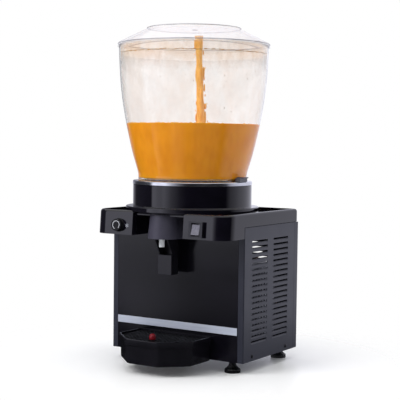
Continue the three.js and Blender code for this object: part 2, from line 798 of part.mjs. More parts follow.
const lidShoulder = bowlTop + gap + lid.wall;
function lidShell() {
  const inner = bowl.rim + gap;
  const top = lidShoulder + lid.height - lid.seat;
  const flat = top - lidLip.height;
  return turned([
    [0, flat - lid.wall],
    [lid.top - lidLip.wall, flat - lid.wall],
    [inner, bowlTop + gap],
    [inner, lidShoulder - lid.skirt],
    [lidRadius, lidShoulder - lid.skirt],
    [lidRadius, lidShoulder],
    [lidRadius - lid.wall, lidShoulder + lid.wall],
    [lid.top, top],
    [lid.top - lidLip.wall, top],
    [lid.top - lidLip.wall, flat],
    [0, flat],
  ]);
}

// Drink in the bowl and cup, with the jet that the pump throws up to the lid
function drinkBody() {
  const wall = bowl.wall + drink.air;
  const levels = bowlLevels.slice(1).filter((z) => z < drinkLevel);
  const side = [...levels, drinkLevel].map((z) => [bowlRadius(z) - wall, z]);
  const pool = turned([
    [0, cupFloor + drink.air],
    [cup.radius - drink.air, cupFloor + drink.air],
    [cup.radius - drink.air, cupRim],
    [ledgeInner - drink.air, cupRim],
    [ledgeInner - drink.air, ledgeTop + drink.air],
    [bowl.foot - wall, ledgeTop + drink.air],
    ...side,
    [0, drinkLevel],
  ]);
  const rise = jetTop - drinkLevel;
  const jet = turned(
    [
      [0, drinkLevel - overrun],
      ...jetShares.map(([height, width]) => [drink.jet * width, drinkLevel + rise * height]),
      [0, jetTop],
    ],
    [0, pump.behind],
    12,
  );
  const pumpRoom = cylinder(
    volute.radius + drink.air,
    [0, pump.behind],
    [cupFloor - overrun, cupFloor + gap + volute.height + drink.air],
    smallSides,
  );
  const tubeRoom = cylinder(
    sprayTube.radius + drink.air,
    [0, pump.behind],
    [cupFloor, sprayTop + drink.air],
    smallSides,
  );
  return cut(join(pool, jet), pumpRoom, tubeRoom);
}

const sprayTop = drinkLevel - sprayTube.below;

function pumpHousing() {
  const place = [0, pump.behind];
  const z0 = cupFloor + gap;
  const shell = cylinder(volute.radius, place, [z0, z0 + volute.height], smallSides);
  const inside = cylinder(
    volute.radius - volute.wall,
    place,
    [z0 - overrun, z0 + volute.height - volute.wall],
    smallSides,
  );
  const outlet = cylinder(sprayTube.bore, place, [z0, z0 + volute.height + overrun], smallSides);
  const reach = volute.radius + overrun;
  const window = [z0 - overrun, z0 + volute.window];
  const half = volute.window / 2;
  const windows = [
    block([-reach, reach], [pump.behind - half, pump.behind + half], window),
    block([-half, half], [pump.behind - reach, pump.behind + reach], window),
  ];
  return cut(shell, inside, outlet, ...windows);
}

function sprayPipe() {
  const place = [0, pump.behind];
  const z0 = cupFloor + gap + volute.height + gap;
  const wall = cylinder(sprayTube.radius, place, [z0, sprayTop], smallSides);
  return wall.subtract(cylinder(sprayTube.bore, place, [z0 - overrun, sprayTop + overrun], smallSides));
}

function impellerWheel() {
  const place = [0, pump.behind];
  const z0 = cupFloor + impeller.lift;
  const top = z0 + impeller.height;
  const plate = cylinder(impeller.radius, place, [z0, z0 + impeller.thick], smallSides);
  let wheel = join(plate, cylinder(impeller.hub, place, [cupFloor + gap, top], smallSides));
  for (let i = 0; i < impeller.blades; i++) {
    const half = impeller.thick / 2;
    const blade = block([0, impeller.radius - gap], [-half, half], [z0, top]);
    const turn = blade.rotate([0, 0, (360 * i) / impeller.blades]);
    wheel = wheel.add(turn.translate([0, pump.behind, 0]));
  }
  return wheel;
}

const magnetTop = cupUnder - magnet.air;
const motorSeat = bridgeTop + gap;

function driveMagnet() {
  const place = [0, pump.behind];
  const disc = cylinder(magnet.radius, place, [magnetTop - magnet.height, magnetTop], smallSides);
  const shaftFoot = motorSeat + pump.flangeThick + gap;
  return join(disc, cylinder(magnet.shaft, place, [shaftFoot, magnetTop - gap], smallSides));
}

function pumpMotor() {
  const flangeTopZ = motorSeat + pump.flangeThick;
  return turned(
    [
      [0, flangeTopZ - pump.motorHeight],
      [pump.motor * 0.9, flangeTopZ - pump.motorHeight],
      [pump.motor, flangeTopZ - pump.motorHeight * 0.92],
      [pump.motor, motorSeat],
      [pump.flange, motorSeat],
      [pump.flange, flangeTopZ],
      [0, flangeTopZ],
    ],
    [0, pump.behind],
    24,
  );
}

// The run of the soft tube from the cup's spout to the mouth of the tap
function tubeRun(radius, bore) {
  const top = cupUnder - spout.length - gap;
  const bottom = noseBottom - tube.below + nose.drop;
  const run = tube.ahead - spout.ahead;
  const fall = top - leverTop;
  const points = [
    [0, -spout.ahead, top],
    [0, -spout.ahead - run * 0.05, top - fall * 0.2],
    [0, -spout.ahead - run * 0.45, top - fall * 0.45],
    [0, -spout.ahead - run * 0.88, top - fall * 0.7],
    [0, -tube.ahead + gap, top - fall * 0.9],
    [0, -tube.ahead, leverTop - leverHead.bar],
    [0, -tube.ahead, bottom],
  ];
  return rodAlong(points, radius, { bore, sides: 12, steps: 20 });
}

// Push lever: two cheeks joined by a back plate, a pad at the foot and a bar that pinches the tube
function tapLever() {
  const cheek = [
    [-lever.front, leverBottom],
    [-lever.front, leverBottom + lever.pad],
    [-leverHead.cheekFoot, leverBottom + lever.pad],
    [-leverHead.front, leverShoulder],
    [-leverHead.front, leverTop],
    [-leverHead.front + leverHead.bar / 2, leverTop],
    [-bracket.front, anvilBottom - slack * 2],
    [-leverHead.tail, pinLevel + leverHead.bar],
    [-leverHead.tail, leverBackTop + leverHead.bar / 2],
    [-lever.back, leverBackTop],
    [-lever.back, leverBottom],
  ];
  const inner = lever.half - lever.plate;
  const sides = [-1, 1].map((side) =>
    across(cheek, side > 0 ? [inner, lever.half] : [-lever.half, -inner]),
  );
  const lap = [-inner - gap, inner + gap];
  const back = block(lap, [-lever.back - lever.plate, -lever.back], [leverBottom, leverBackTop]);
  const padTop = leverBottom + lever.pad;
  const face = block(lap, [-lever.front, -lever.front + lever.plate], [leverBottom, padTop]);
  const sole = block(lap, [-lever.front, -lever.back], [leverBottom, leverBottom + lever.plate]);
  const shelf = block(lap, [-lever.front, -leverHead.cheekFoot], [padTop - lever.plate, padTop]);
  const barFront = -leverHead.front;
  const bar = block(
    lap,
    [barFront, -tube.ahead - tube.radius - gap],
    [leverTop - leverHead.bar, leverTop],
  );
  const pinHole = crossRod(pin.radius + pin.running, [-pin.half, pin.half], [-pin.ahead, pinLevel]);
  return cut(join(...sides, back, face, sole, shelf, bar), pinHole);
}

function leverPin() {
  return crossRod(pin.radius, [-pin.half, pin.half], [-pin.ahead, pinLevel]);
}

// Fixed bracket inside the nose that holds the pin and backs the tube where it is pinched
function tapBracket() {
  const top = deckTop - nose.wall - gap;
  const outer = bracket.inner + bracket.plate;
  const ears = [-1, 1].map((side) =>
    block(
      side > 0 ? [bracket.inner, outer] : [-outer, -bracket.inner],
      [-bracket.front, -bracket.back],
      [bracketBottom, top],
    ),
  );
  const anvilBack = -tube.ahead + tube.radius + gap;
  const span = [-bracket.inner - gap, bracket.inner + gap];
  const anvilBar = block(
    span,
    [anvilBack, anvilBack + anvil.thick],
    [anvilBottom, leverTop],
  );
  const plate = block(span, [-bracket.front, -bracket.back], [top - bracket.top, top]);
  const tubeRoom = block(
    [-tube.radius * 1.5, tube.radius * 1.5],
    [-bracket.front - overrun, -bracket.back + overrun],
    [top - bracket.top - overrun, top + overrun],
  );
  const pinHole = crossRod(pin.radius + pin.running, [-pin.half, pin.half], [-pin.ahead, pinLevel]);
  return cut(join(...ears, cut(plate, tubeRoom), anvilBar), pinHole);
}

// Torsion spring round the pin, between the cheeks
function leverSpring() {
  const radius = pin.radius + spring.air + spring.wire;
  const steps = spring.turns * 8;
  const points = Array.from({ length: steps + 1 }, (_, i) => {
    const angle = (Math.PI * 2 * i) / 8;
    const x = ((i / steps) * 2 - 1) * ((spring.turns * spring.pitch) / 2);
    return new THREE.Vector3(x, radius * Math.cos(angle) - pin.ahead, radius * Math.sin(angle) + pinLevel);
  });
  const shape = new THREE.Shape().absarc(0, 0, spring.wire, 0, Math.PI * 2, false);
  const path = new THREE.CatmullRomCurve3(points);
  return solidOf(
    new THREE.ExtrudeGeometry(shape, { steps, extrudePath: path, curveSegments: 3, bevelEnabled: false }),
  );
}

// Half-octagon outline of the tray, drawn in by an inset
function trayRing(z, inset) {
  const half = tray.half - inset;
  const front = -tray.reach + inset;
  const lean = Math.tan(Math.PI / 8) * inset;
  const facet = tray.facet - lean;
  const corner = frontFace - tray.side + lean;
  const back = frontFace - trayDepth.behind - (inset > tray.proud ? inset - tray.proud : 0);
  return [
    [-half, back],
    [-half, corner],
    [-facet, front],
    [facet, front],
    [half, corner],
    [half, back],
  ].map(([x, y]) => [x, y, z]);
}

function dripTray() {
  const bandBottom = trayLevel.rim - trayDepth.band;
  const p = tray.proud;
  const shell = lofted([
    trayRing(trayLevel.bottom, p + trayDepth.softInset),
    trayRing(trayLevel.bottom + trayDepth.soft * 0.25, p + trayDepth.softInset * 0.4),
    trayRing(trayLevel.bottom + trayDepth.soft, p),
    trayRing(bandBottom - p, p),
    trayRing(bandBottom, 0),
    trayRing(trayLevel.rim - gap * 3, 0),
    trayRing(trayLevel.rim, gap * 3),
  ]);
  const pocketFloor = trayLevel.rim - grille.sunk - grille.thick;
  const wall = p + tray.wall;
  const pocket = lofted([trayRing(pocketFloor, wall), trayRing(trayLevel.rim + overrun, wall)]);
  const well = lofted([
    trayRing(trayLevel.bottom + tray.wall, wall + trayDepth.softInset),
    trayRing(trayLevel.bottom + tray.wall + trayDepth.soft, wall + trayDepth.ledge),
    trayRing(pocketFloor + overrun / 2, wall + trayDepth.ledge),
  ]);
  const hooks = [-1, 1].map((side) => {
    const x = side * hook.across;
    const z = trayLevel.bottom + hook.rise;
    const y0 = frontFace - trayDepth.behind - tray.wall / 2;
    return block(
      [x - hook.width / 2, x + hook.width / 2],
      [y0, frontFace + hook.reach],
      [z, z + hook.height],
    );
  });
  const guideFloor = trayLevel.bottom + tray.wall;
  const guide = cylinder(
    float.stem * 2.2,
    [0, -floatAhead],
    [guideFloor - gap, guideFloor + float.rise],
    smallSides,
  );
  const guideBore = cylinder(
    float.stem + slack,
    [0, -floatAhead],
    [guideFloor, guideFloor + float.rise + overrun],
    smallSides,
  );
  return cut(join(cut(shell, pocket, well), ...hooks, guide), guideBore);
}

// Perforated plate that the cup stands on
function dripGrille() {
  const z1 = trayLevel.rim - grille.sunk;
  const z0 = z1 - grille.thick + gap;
  const inset = tray.proud + tray.wall + slack;
  let plate = lofted([trayRing(z0, inset), trayRing(z1, inset)]);
  const cutZ = [z0 - overrun, z1 + overrun];
  const corner = frontFace - tray.side;
  const slope = (tray.half - tray.facet) / (tray.reach - body.front - tray.side);
  for (let y = frontFace - grille.margin; y > -tray.reach + grille.margin * 1.5; y -= grille.pitch) {
    const narrowing = Math.max(0, corner - y) * slope;
    const half = tray.half - grille.margin - narrowing;
    const count = Math.floor(half / grille.pitch);
    for (let i = -count; i <= count; i++) {
      const x = i * grille.pitch;
      if (Math.hypot(x, y + floatAhead) < float.head + grille.hole) continue;
      plate = plate.subtract(cylinder(grille.hole, [x, y], cutZ, 4));
    }
  }
  return plate.subtract(cylinder(float.hole, [0, -floatAhead], cutZ, smallSides));
}

function floatIndicator() {
  const headFoot = trayLevel.rim - grille.sunk + gap;
  const top = headFoot + float.headHeight;
  return turned(
    [
      [0, trayLevel.bottom + tray.wall + gap],
      [float.stem, trayLevel.bottom + tray.wall + gap],
      [float.stem, headFoot],
      [float.head, headFoot],
      [float.head, top - float.headHeight * 0.4],
      [float.head * 0.8, top - float.headHeight * 0.12],
      [float.head * 0.35, top],
      [0, top],
    ],
    [0, -floatAhead],
    smallSides,
  );
}

// Thermostat on the back of the left pod's face, in the group of that pod
function thermostatBody() {
  const y0 = cover.wall + gap * 2;
  const box = block(
    [-thermostat.width / 2, thermostat.width / 2],
    [y0, y0 + thermostat.depth],
    [-thermostat.height / 2, thermostat.height / 2],
  );
  const bush = frontRod(thermostat.bush, [gap, y0 + gap]);
  const bore = frontRod(knob.shaft + gap, [-overrun, y0 + thermostat.depth * 0.6]);
  return cut(join(box, bush), bore);
}

// Knob with a skirt, a slightly tapered grip and its shaft
function thermostatKnob() {
  const profile = [
    [0, gap],
    [knob.radius * knob.base, gap],
    [knob.radius * knob.base, knob.height * 0.16],
    [knob.radius, knob.height * 0.22],
    [knob.radius * knob.face, knob.height - gap * 3],
    [knob.radius * knob.face - gap * 3, knob.height],
    [0, knob.height],
  ].map(([r, z]) => new THREE.Vector2(r, z));
  const grip = solidOf(new THREE.LatheGeometry(profile, 24).rotateX(Math.PI));
  const bushRoom = frontRod(knob.hub, [-knob.height * 0.2, overrun]);
  const shaft = frontRod(knob.shaft, [-knob.height * 0.5, cover.wall + thermostat.depth * 0.4]);
  return join(cut(grip, bushRoom), shaft);
}

function switchHousing() {
  const [w, h] = [bezel.width / 2, bezel.height / 2];
  const front = -bezel.proud;
  const frameBox = block([-w, w], [front, -gap], [-h, h]);
  const bodyBox = block(
    [-switchBodyHalf, switchBodyHalf],
    [-gap * 2, cover.wall + bezel.depth],
    [-switchBodyHigh, switchBodyHigh],
  );
  const keyRoom = block(
    [-rocker.width / 2 - gap, rocker.width / 2 + gap],
    [front - overrun, front + rocker.depth + rocker.pivot + gap],
    [-rocker.height / 2 - slack, rocker.height / 2 + slack],
  );
  return cut(join(frameBox, bodyBox), keyRoom);
}

// Rocker key: its face is hollowed towards the middle, and it turns on a rib at its back
function rockerKey() {
  const half = rocker.height / 2 - slack;
  const front = -bezel.proud;
  const deep = front + rocker.depth;
  const outline = [
    [deep, -half * 0.8],
    [front + rocker.depth * 0.2, -half],
    [front - rocker.depth * 0.3, -half * 0.95],
    [front + rocker.depth * 0.12, 0],
    [front + rocker.depth * 0.3, half * 0.95],
    [deep, half * 0.85],
    [deep + rocker.pivot - gap, rocker.pivot * 0.3],
    [deep + rocker.pivot - gap, -rocker.pivot * 0.3],
  ];
  return across(outline, [-rocker.width / 2 + gap / 2, rocker.width / 2 - gap / 2]);
}

// Inner frame: a bridge sheet under the top cover, carried by four posts on the base pan
function innerFrame() {
  const half = innerHalf - frame.ends;
  const y = [frontFace + sheet + frame.ends, body.back - sheet - frame.ends];
  const bridge = block([-half, half], y, [bridgeUnder, bridgeTop]);
  const posts = [];
  for (const side of [-1, 1]) {
    const x = side > 0 ? [half - frame.post, half] : [-half, -half + frame.post];
    for (const yPost of [[y[0], y[0] + frame.post], [y[1] - frame.post, y[1]]]) {
      posts.push(block(x, yPost, [panTop + gap, bridgeUnder + gap]));
    }
  }
  const motorHole = cylinder(
    pump.motor + gap * 2,
    [0, pump.behind],
    [bridgeUnder - overrun, bridgeTop + overrun],
    24,
  );
  const pipeHole = block(
    [compressor.x - frame.side, compressor.x + frame.side],
    [body.back - frame.side * 3, body.back - frame.side],
    [bridgeUnder - overrun, bridgeTop + overrun],
  );
  return cut(join(bridge, ...posts), motorHole, pipeHole);
}

const mountTop = panTop + gap + mount.height;
const compressorPlate = mountTop + gap;

function hermeticCompressor() {
  const place = [compressor.x, compressor.y];
  const foot0 = compressorPlate + compressor.plate;
  const r = compressor.radius;
  const h = compressor.height;
  const dome = turned(
    [
      [0, foot0 - gap],
      [r * 0.6, foot0 - gap],
      [r * 0.92, foot0 + h * 0.1],
      [r, foot0 + h * 0.3],
      [r, foot0 + h * 0.52],
      [r * 0.96, foot0 + h * 0.54],
      [r * 0.94, foot0 + h * 0.78],
      [r * 0.7, foot0 + h * 0.95],
      [0, foot0 + h],
    ],
    place,
    28,
  );
  const half = compressor.plateHalf;
  const plate = block(
    [compressor.x - half, compressor.x + half],
    [compressor.y - half, compressor.y + half],
    [compressorPlate, foot0],
  );
  return join(dome, plate);
}

const mountPlaces = [-1, 1].flatMap((sx) =>
  [-1, 1].map((sy) => {
    const off = compressor.plateHalf - mount.radius;
    return [compressor.x + sx * off, compressor.y + sy * off];
  }),
);

function rubberMount([x, y]) {
  return cylinder(mount.radius, [x, y], [panTop + gap, mountTop], 12);
}

const condenserX1 = innerHalf - condenser.side;
const condenserX0 = condenserX1 - condenser.thick;
const condenserZ = panTop + gap;
const coolAxis = [condenser.y, condenserZ + condenser.rise + condenser.height / 2];

// Finned block with its side channels standing on the base pan
function condenserCoil() {
  const y = [condenser.y - condenser.depth / 2, condenser.y + condenser.depth / 2];
  const z0 = condenserZ + condenser.rise;
  const z1 = z0 + condenser.height;
  let core = block([condenserX0, condenserX1], y, [z0, z1]);
  const pitch = condenser.depth / (fins.count + 1);
  for (let i = 1; i <= fins.count; i++) {
    const yCut = y[0] + i * pitch;
    const groove = [yCut - fins.half, yCut + fins.half];
    const height = [z0 + pitch, z1 - pitch];
    core = core.subtract(block([condenserX0 - overrun, condenserX0 + fins.groove], groove, height));
    core = core.subtract(block([condenserX1 - fins.groove, condenserX1 + overrun], groove, height));
  }
  const legs = y.map((yLeg, end) => {
    const inward = end === 0 ? [yLeg, yLeg + sheet * 2] : [yLeg - sheet * 2, yLeg];
    return block([condenserX0, condenserX1], inward, [condenserZ, z0 + gap]);
  });
  return join(core, ...legs);
}

const shroudX1 = condenserX0 - gap;
const shroudX0 = shroudX1 - shroud.depth;

// Square duct in front of the condenser, with a spider that carries the fan motor
function fanShroud() {
  const [y, z] = coolAxis;
  const half = condenser.depth / 2;
  const high = condenser.height / 2;
  const box = block([shroudX0, shroudX1], [y - half, y + half], [z - high, z + high]);
  const bore = crossRod(shroud.bore, [shroudX0 - overrun, shroudX1 + overrun], [y, z], 28);
  const armX = [shroudX0 - shroud.wall, shroudX0 + gap];
  const reach = shroud.bore + shroud.wall * 2;
  const arm = shroud.arm / 2;
  const spider = join(
    crossRod(shroud.hub, armX, [y, z]),
    block(armX, [y - reach, y + reach], [z - arm, z + arm]),
    block(armX, [y - arm, y + arm], [z - reach, z + reach]),
  );
  const through = [armX[0] - overrun, armX[1] + overrun];
  const shaftHole = crossRod(fanMotor.shaft + slack, through, [y, z], rodSides);
  return cut(join(cut(box, bore), spider), shaftHole);
}

function fanMotorBody() {
  const x1 = shroudX0 - shroud.wall - gap;
  return crossRod(fanMotor.radius, [x1 - fanMotor.length, x1], coolAxis, smallSides);
}

function fanBlades() {
  const [y, z] = coolAxis;
  const x0 = shroudX0 + shroud.off + gap;
  const x1 = x0 + fan.width;
  let wheel = crossRod(fan.hub, [x0, x1], [0, 0]);
  for (let i = 0; i < fan.blades; i++) {
    const blade = new THREE.BoxGeometry(fan.thick, fan.radius - fan.hub * 0.7, fan.width * 2.6);
    blade.translate(0, (fan.radius + fan.hub * 0.7) / 2, 0).rotateY(fan.twist);
    blade.rotateX((Math.PI * 2 * i) / fan.blades).translate((x0 + x1) / 2, 0, 0);
    wheel = wheel.add(solidOf(blade));
  }
  const swept = crossRod(fan.radius, [x0, x1 + fan.thick], [0, 0], 28);
  const shaft = crossRod(fanMotor.shaft, [shroudX0 - shroud.wall, x1], [0, 0], rodSides);
  return join(wheel.intersect(swept), shaft).translate([0, y, z]);
}

function filterDrier() {
  const z0 = drier.z;
  const z1 = z0 + drier.height;
  return turned(
    [
      [0, z0 - drier.neckHeight],
      [drier.neck, z0 - drier.neckHeight],
      [drier.neck, z0],
      [drier.radius, z0 + drier.neckHeight],
      [drier.radius, z1 - drier.neckHeight],
      [drier.neck, z1],
      [drier.neck, z1 + drier.neckHeight],
      [0, z1 + drier.neckHeight],
    ],
    [drier.x, drier.y],
    12,
  );
}

// Copper pipes: compressor to condenser, condenser to drier, drier to evaporator, and back to the compressor
const compressorTop = compressorPlate + compressor.plate + compressor.height;
function dischargeLine() {
  const z = condenserZ + condenser.rise + condenser.height;
  const y = condenser.y + condenser.depth / 2 - pipe.radius * 3;
  const x = (condenserX0 + condenserX1) / 2;
  const up = pipe.radius * 7;
  return rodAlong(
    [
      [compressor.x + compressor.radius * 0.5, compressor.y, compressorTop - compressor.height * 0.01],
      [compressor.x + compressor.radius * 0.5, compressor.y, compressorTop + up],
      [x * 0.5, y, z - condenser.lineDip],
      [x, y, z + up],
      [x, y, z + gap],
    ],
    pipe.thin,
    { sides: 6, steps: 14 },
  );
}

function liquidLine() {
  const z = coolAxis[1] - condenser.height * 0.4;
  const y = condenser.y + condenser.depth / 2 + gap;
  const x = (condenserX0 + condenserX1) / 2;
  return rodAlong(
    [
      [x, y, z],
      [x, y + pipe.radius * 3, z],
      [drier.x + pipe.radius * 6, y + pipe.radius * 3, drier.z - drier.neckHeight - pipe.radius * 4],
      [drier.x, drier.y, drier.z - drier.neckHeight - pipe.radius * 5],
      [drier.x, drier.y, drier.z - drier.neckHeight - gap],
    ],
    pipe.thin,
    { sides: 6, steps: 14 },
  );
}

const coilRadius = cup.radius + cup.sheet + coil.air + coil.tube;
const coilLow = cupUnder + coil.tube + gap;
function capillaryLine() {
  const top = drier.z + drier.height + drier.neckHeight + gap;
  const passY = body.back - frame.side * 2;
  const level = bridgeTop + pipe.radius + gap;
  const under = flangeBottom + pipe.thin;
  return rodAlong(
    [
      [drier.x, drier.y, top],
      [drier.x, drier.y, top + pipe.radius * 6],
      [compressor.x, passY, bridgeUnder - pipe.radius * 8],
      [compressor.x, passY, bridgeUnder],
      [compressor.x * 0.92, passY * 0.85, level],
      [compressor.x * 0.65, coverEdge.hole * 0.75, level],
      [compressor.x * 0.52, coverEdge.hole * 0.55, under],
      [-pipe.radius * 6, coilRadius * 0.88, coilLow - pipe.radius * 3.2],
      [-pipe.radius * 3, coilRadius, coilLow - pipe.radius * 1.5],
    ],
    pipe.thin / 2,
    { sides: 6, steps: 24 },
  );
}

function controlCase() {
  const x = [controlBoxX - controlBox.width / 2, controlBoxX + controlBox.width / 2];
  const y = [controlBox.y - controlBox.depth / 2, controlBox.y + controlBox.depth / 2];
  const z1 = bridgeUnder - gap;
  return block(x, y, [z1 - controlBox.height, z1]);
}

// Power inlet behind the cut-out of the back sheet
function powerInlet() {
  const z = caseBottom + inlet.rise;
  const y1 = body.back - sheet - gap;
  const [x0, x1] = [inletX, inletX + inlet.width];
  const flange = block(
    [x0 - inletFlange.width, x1 + inletFlange.width],
    [y1 - inletFlange.thick, y1],
    [z - inletFlange.width, z + inlet.height + inletFlange.width],
  );
  const socket = block([x0, x1], [y1 - inlet.depth, y1 - gap], [z, z + inlet.height]);
  const wall = inletFlange.pinHole / 2;
  const mouth = block(
    [x0 + wall, x1 - wall],
    [y1 - inlet.depth + inletFlange.pinHole * 2, y1 + overrun],
    [z + wall, z + inlet.height - wall],
  );
  return cut(join(flange, socket), mouth);
}

// The pieces
piece("base_pan", basePan(), galvanised);
for (const [name, x, y] of footPlaces) piece(name, levellingFoot(x, y), rubber);
piece("front_panel", frontPanel(), glossBlack);
piece("side_panel_right", sidePanel(1), darkSheet);
piece("side_panel_left", sidePanel(-1), darkSheet);
piece("back_panel", backPanel(), darkSheet);
piece("trim_strip", trimStrip(), brushedAluminium);
piece("inner_frame", innerFrame(), galvanised);
piece("top_cover", topCover(), glossBlack);
piece("tap_nose", tapNose(), glossBlack);
piece("collar", collarShell(), glossBlack);
["front", "back"].forEach((end, i) => {
  piece("screw_right_" + end, panelScrew(1, screwPlaces[i]), paintedBlack);
  piece("screw_left_" + end, panelScrew(-1, screwPlaces[i]), paintedBlack);
});

piece("cooling_cup", coolingCup(), stainless);
piece("evaporator_coil", evaporatorCoil(), copper);
piece("insulation", insulationRing(), foam);
piece("bowl", bowlShell(), clearPlastic);
piece("bowl_seal", bowlSeal(), rubber);
piece("bowl_lug_right", bowlLug(1), greyPlastic);
piece("bowl_lug_left", bowlLug(-1), greyPlastic);
piece("lid", lidShell(), clearPlastic);
piece("drink", drinkBody(), orangeDrink);

piece("pump_motor", pumpMotor(), paintedBlack);
piece("drive_magnet", driveMagnet(), galvanised);
piece("impeller", impellerWheel(), whitePlastic);
piece("pump_housing", pumpHousing(), whitePlastic);
piece("spray_tube", sprayPipe(), clearPlastic);

piece("pinch_tube", tubeRun(tube.radius, tube.bore), whitePlastic);
piece("tap_lever", tapLever(), satinBlack);
piece("lever_pin", leverPin(), stainless);
piece("tap_bracket", tapBracket(), galvanised);
piece("lever_spring", leverSpring(), stainless);

piece("drip_tray", dripTray(), glossBlack);
piece("drip_grille", dripGrille(), satinBlack);
piece("float_indicator", floatIndicator(), redPlastic);

const leftPod = fasciaGroup(-pods.across);
piece("thermostat", thermostatBody(), galvanised, leftPod);
piece("thermostat_knob", thermostatKnob(), satinBlack, leftPod);
const rightPod = fasciaGroup(pods.across);
piece("switch_housing", switchHousing(), satinBlack, rightPod);
piece("rocker_key", rockerKey(), greyPlastic, rightPod);

piece("compressor", hermeticCompressor(), paintedBlack);
mountPlaces.forEach((place, i) => piece("compressor_mount_" + (i + 1), rubberMount(place), rubber));
piece("condenser", condenserCoil(), galvanised);
piece("fan_shroud", fanShroud(), satinBlack);
piece("fan_motor", fanMotorBody(), paintedBlack);
piece("fan_blades", fanBlades(), greyPlastic);
piece("filter_drier", filterDrier(), copper);
piece("discharge_line", dischargeLine(), copper);
piece("liquid_line", liquidLine(), copper);
piece("capillary_line", capillaryLine(), copper);
piece("control_box", controlCase(), whitePlastic);
piece("power_inlet", powerInlet(), satinBlack);

export default model;
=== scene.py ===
import json
import random
from math import atan2, cos, exp, hypot, pi, radians, sin, sqrt, tan

import bmesh
import bpy
from mathutils import Matrix, Vector, noise

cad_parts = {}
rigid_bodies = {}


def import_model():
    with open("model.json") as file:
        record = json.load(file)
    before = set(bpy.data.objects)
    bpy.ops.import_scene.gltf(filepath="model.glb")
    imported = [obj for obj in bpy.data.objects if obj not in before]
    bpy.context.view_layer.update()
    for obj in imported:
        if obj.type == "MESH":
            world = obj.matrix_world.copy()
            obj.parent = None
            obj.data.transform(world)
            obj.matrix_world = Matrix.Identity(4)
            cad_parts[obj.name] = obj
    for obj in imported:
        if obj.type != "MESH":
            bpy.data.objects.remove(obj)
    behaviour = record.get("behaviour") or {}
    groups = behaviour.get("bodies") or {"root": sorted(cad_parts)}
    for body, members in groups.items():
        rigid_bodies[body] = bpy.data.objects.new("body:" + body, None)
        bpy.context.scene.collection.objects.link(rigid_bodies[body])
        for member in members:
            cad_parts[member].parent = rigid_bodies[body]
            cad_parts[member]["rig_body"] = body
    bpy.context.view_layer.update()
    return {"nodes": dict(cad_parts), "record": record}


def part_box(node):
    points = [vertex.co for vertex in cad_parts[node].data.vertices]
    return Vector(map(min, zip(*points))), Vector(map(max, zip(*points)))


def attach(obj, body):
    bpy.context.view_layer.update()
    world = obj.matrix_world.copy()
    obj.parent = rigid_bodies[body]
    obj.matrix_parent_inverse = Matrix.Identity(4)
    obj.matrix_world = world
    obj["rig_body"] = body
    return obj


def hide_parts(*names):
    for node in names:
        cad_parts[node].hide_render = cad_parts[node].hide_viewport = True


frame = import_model()
mm = 0.001
bowlLow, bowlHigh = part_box("bowl")
axisY = (bowlLow.y + bowlHigh.y) / 2 / mm
toFrame = Matrix.Diagonal((mm, mm, mm, 1.0)) @ Matrix.Translation((0, axisY, 0))
slots = {entry["node"]: entry["material_slot"] for entry in frame["record"]["subparts"]}
print("frame loaded, bowl axis at y", round(axisY, 2))


# Colours and nodes

def hexColour(text):
    shares = [int(text[i:i + 2], 16) / 255 for i in (0, 2, 4)]
    linear = [s / 12.92 if s <= 0.04045 else ((s + 0.055) / 1.055) ** 2.4 for s in shares]
    return (*linear, 1.0)


# One node with its settings and links. A link given as a node takes that node's first output.
def addNode(tree, kind, settings=None, links=None):
    node = tree.nodes.new("ShaderNode" + kind)
    for name, value in (settings or {}).items():
        if isinstance(name, int) or name in node.inputs:
            node.inputs[name].default_value = value
        else:
            setattr(node, name, value)
    for name, source in (links or {}).items():
        tree.links.new(getattr(source, "outputs", [source])[0], node.inputs[name])
    return node


def startMaterial(name):
    made = bpy.data.materials.new(name)
    made.use_nodes = True
    made.node_tree.nodes.clear()
    return made, made.node_tree


# A pattern's scale from the size of one of its grains in millimetres
def scaleOf(millimetres):
    return 1 / (millimetres * mm)


# What a look says of the whole surface, for the shader's own sockets
def evenValues(look):
    sockets = {"roughness": "Roughness", "ior": "IOR", "gloss": "Specular IOR Level", "metallic": "Metallic"}
    values = {sockets[key]: look[key] for key in sockets if key in look}
    return {"Base Color": hexColour(look["colour"]), **values}


# Most surfaces: a fine grain in relief, and slow patches of colour and roughness
def surface(name, look):
    made, tree = startMaterial(name)
    place = addNode(tree, "TexCoord").outputs["Object"]
    drawn = addNode(tree, "Mapping", {"Scale": look.get("stretch", (1, 1, 1))}, {"Vector": place})
    grain = addNode(tree, "TexNoise", {"Scale": scaleOf(look["grain"]), "Detail": 3.0}, {"Vector": drawn})
    relief = addNode(tree, "Bump", {"Strength": 0.5, "Distance": look["relief"] * mm}, {"Height": grain})
    patch = addNode(tree, "TexNoise", {"Scale": scaleOf(look["patch"]), "Detail": 4.0}, {"Vector": drawn})
    smooth = look["roughness"] - look["swing"]
    worn = look["roughness"] + look["swing"]
    swings = {"From Min": 0.3, "From Max": 0.7, "To Min": smooth, "To Max": worn}
    rough = addNode(tree, "MapRange", swings, {"Value": patch})
    share = addNode(tree, "MapRange", {"From Min": 0.35, "From Max": 0.75}, {"Value": patch})
    colours = {"data_type": "RGBA", 6: hexColour(look["colour"]), 7: hexColour(look["second"])}
    colour = addNode(tree, "Mix", colours, {0: share}).outputs[2]
    textures = {"Base Color": colour, "Roughness": rough, "Normal": relief}
    shader = addNode(tree, "BsdfPrincipled", evenValues(look), textures)
    addNode(tree, "OutputMaterial", None, {"Surface": shader})
    return made


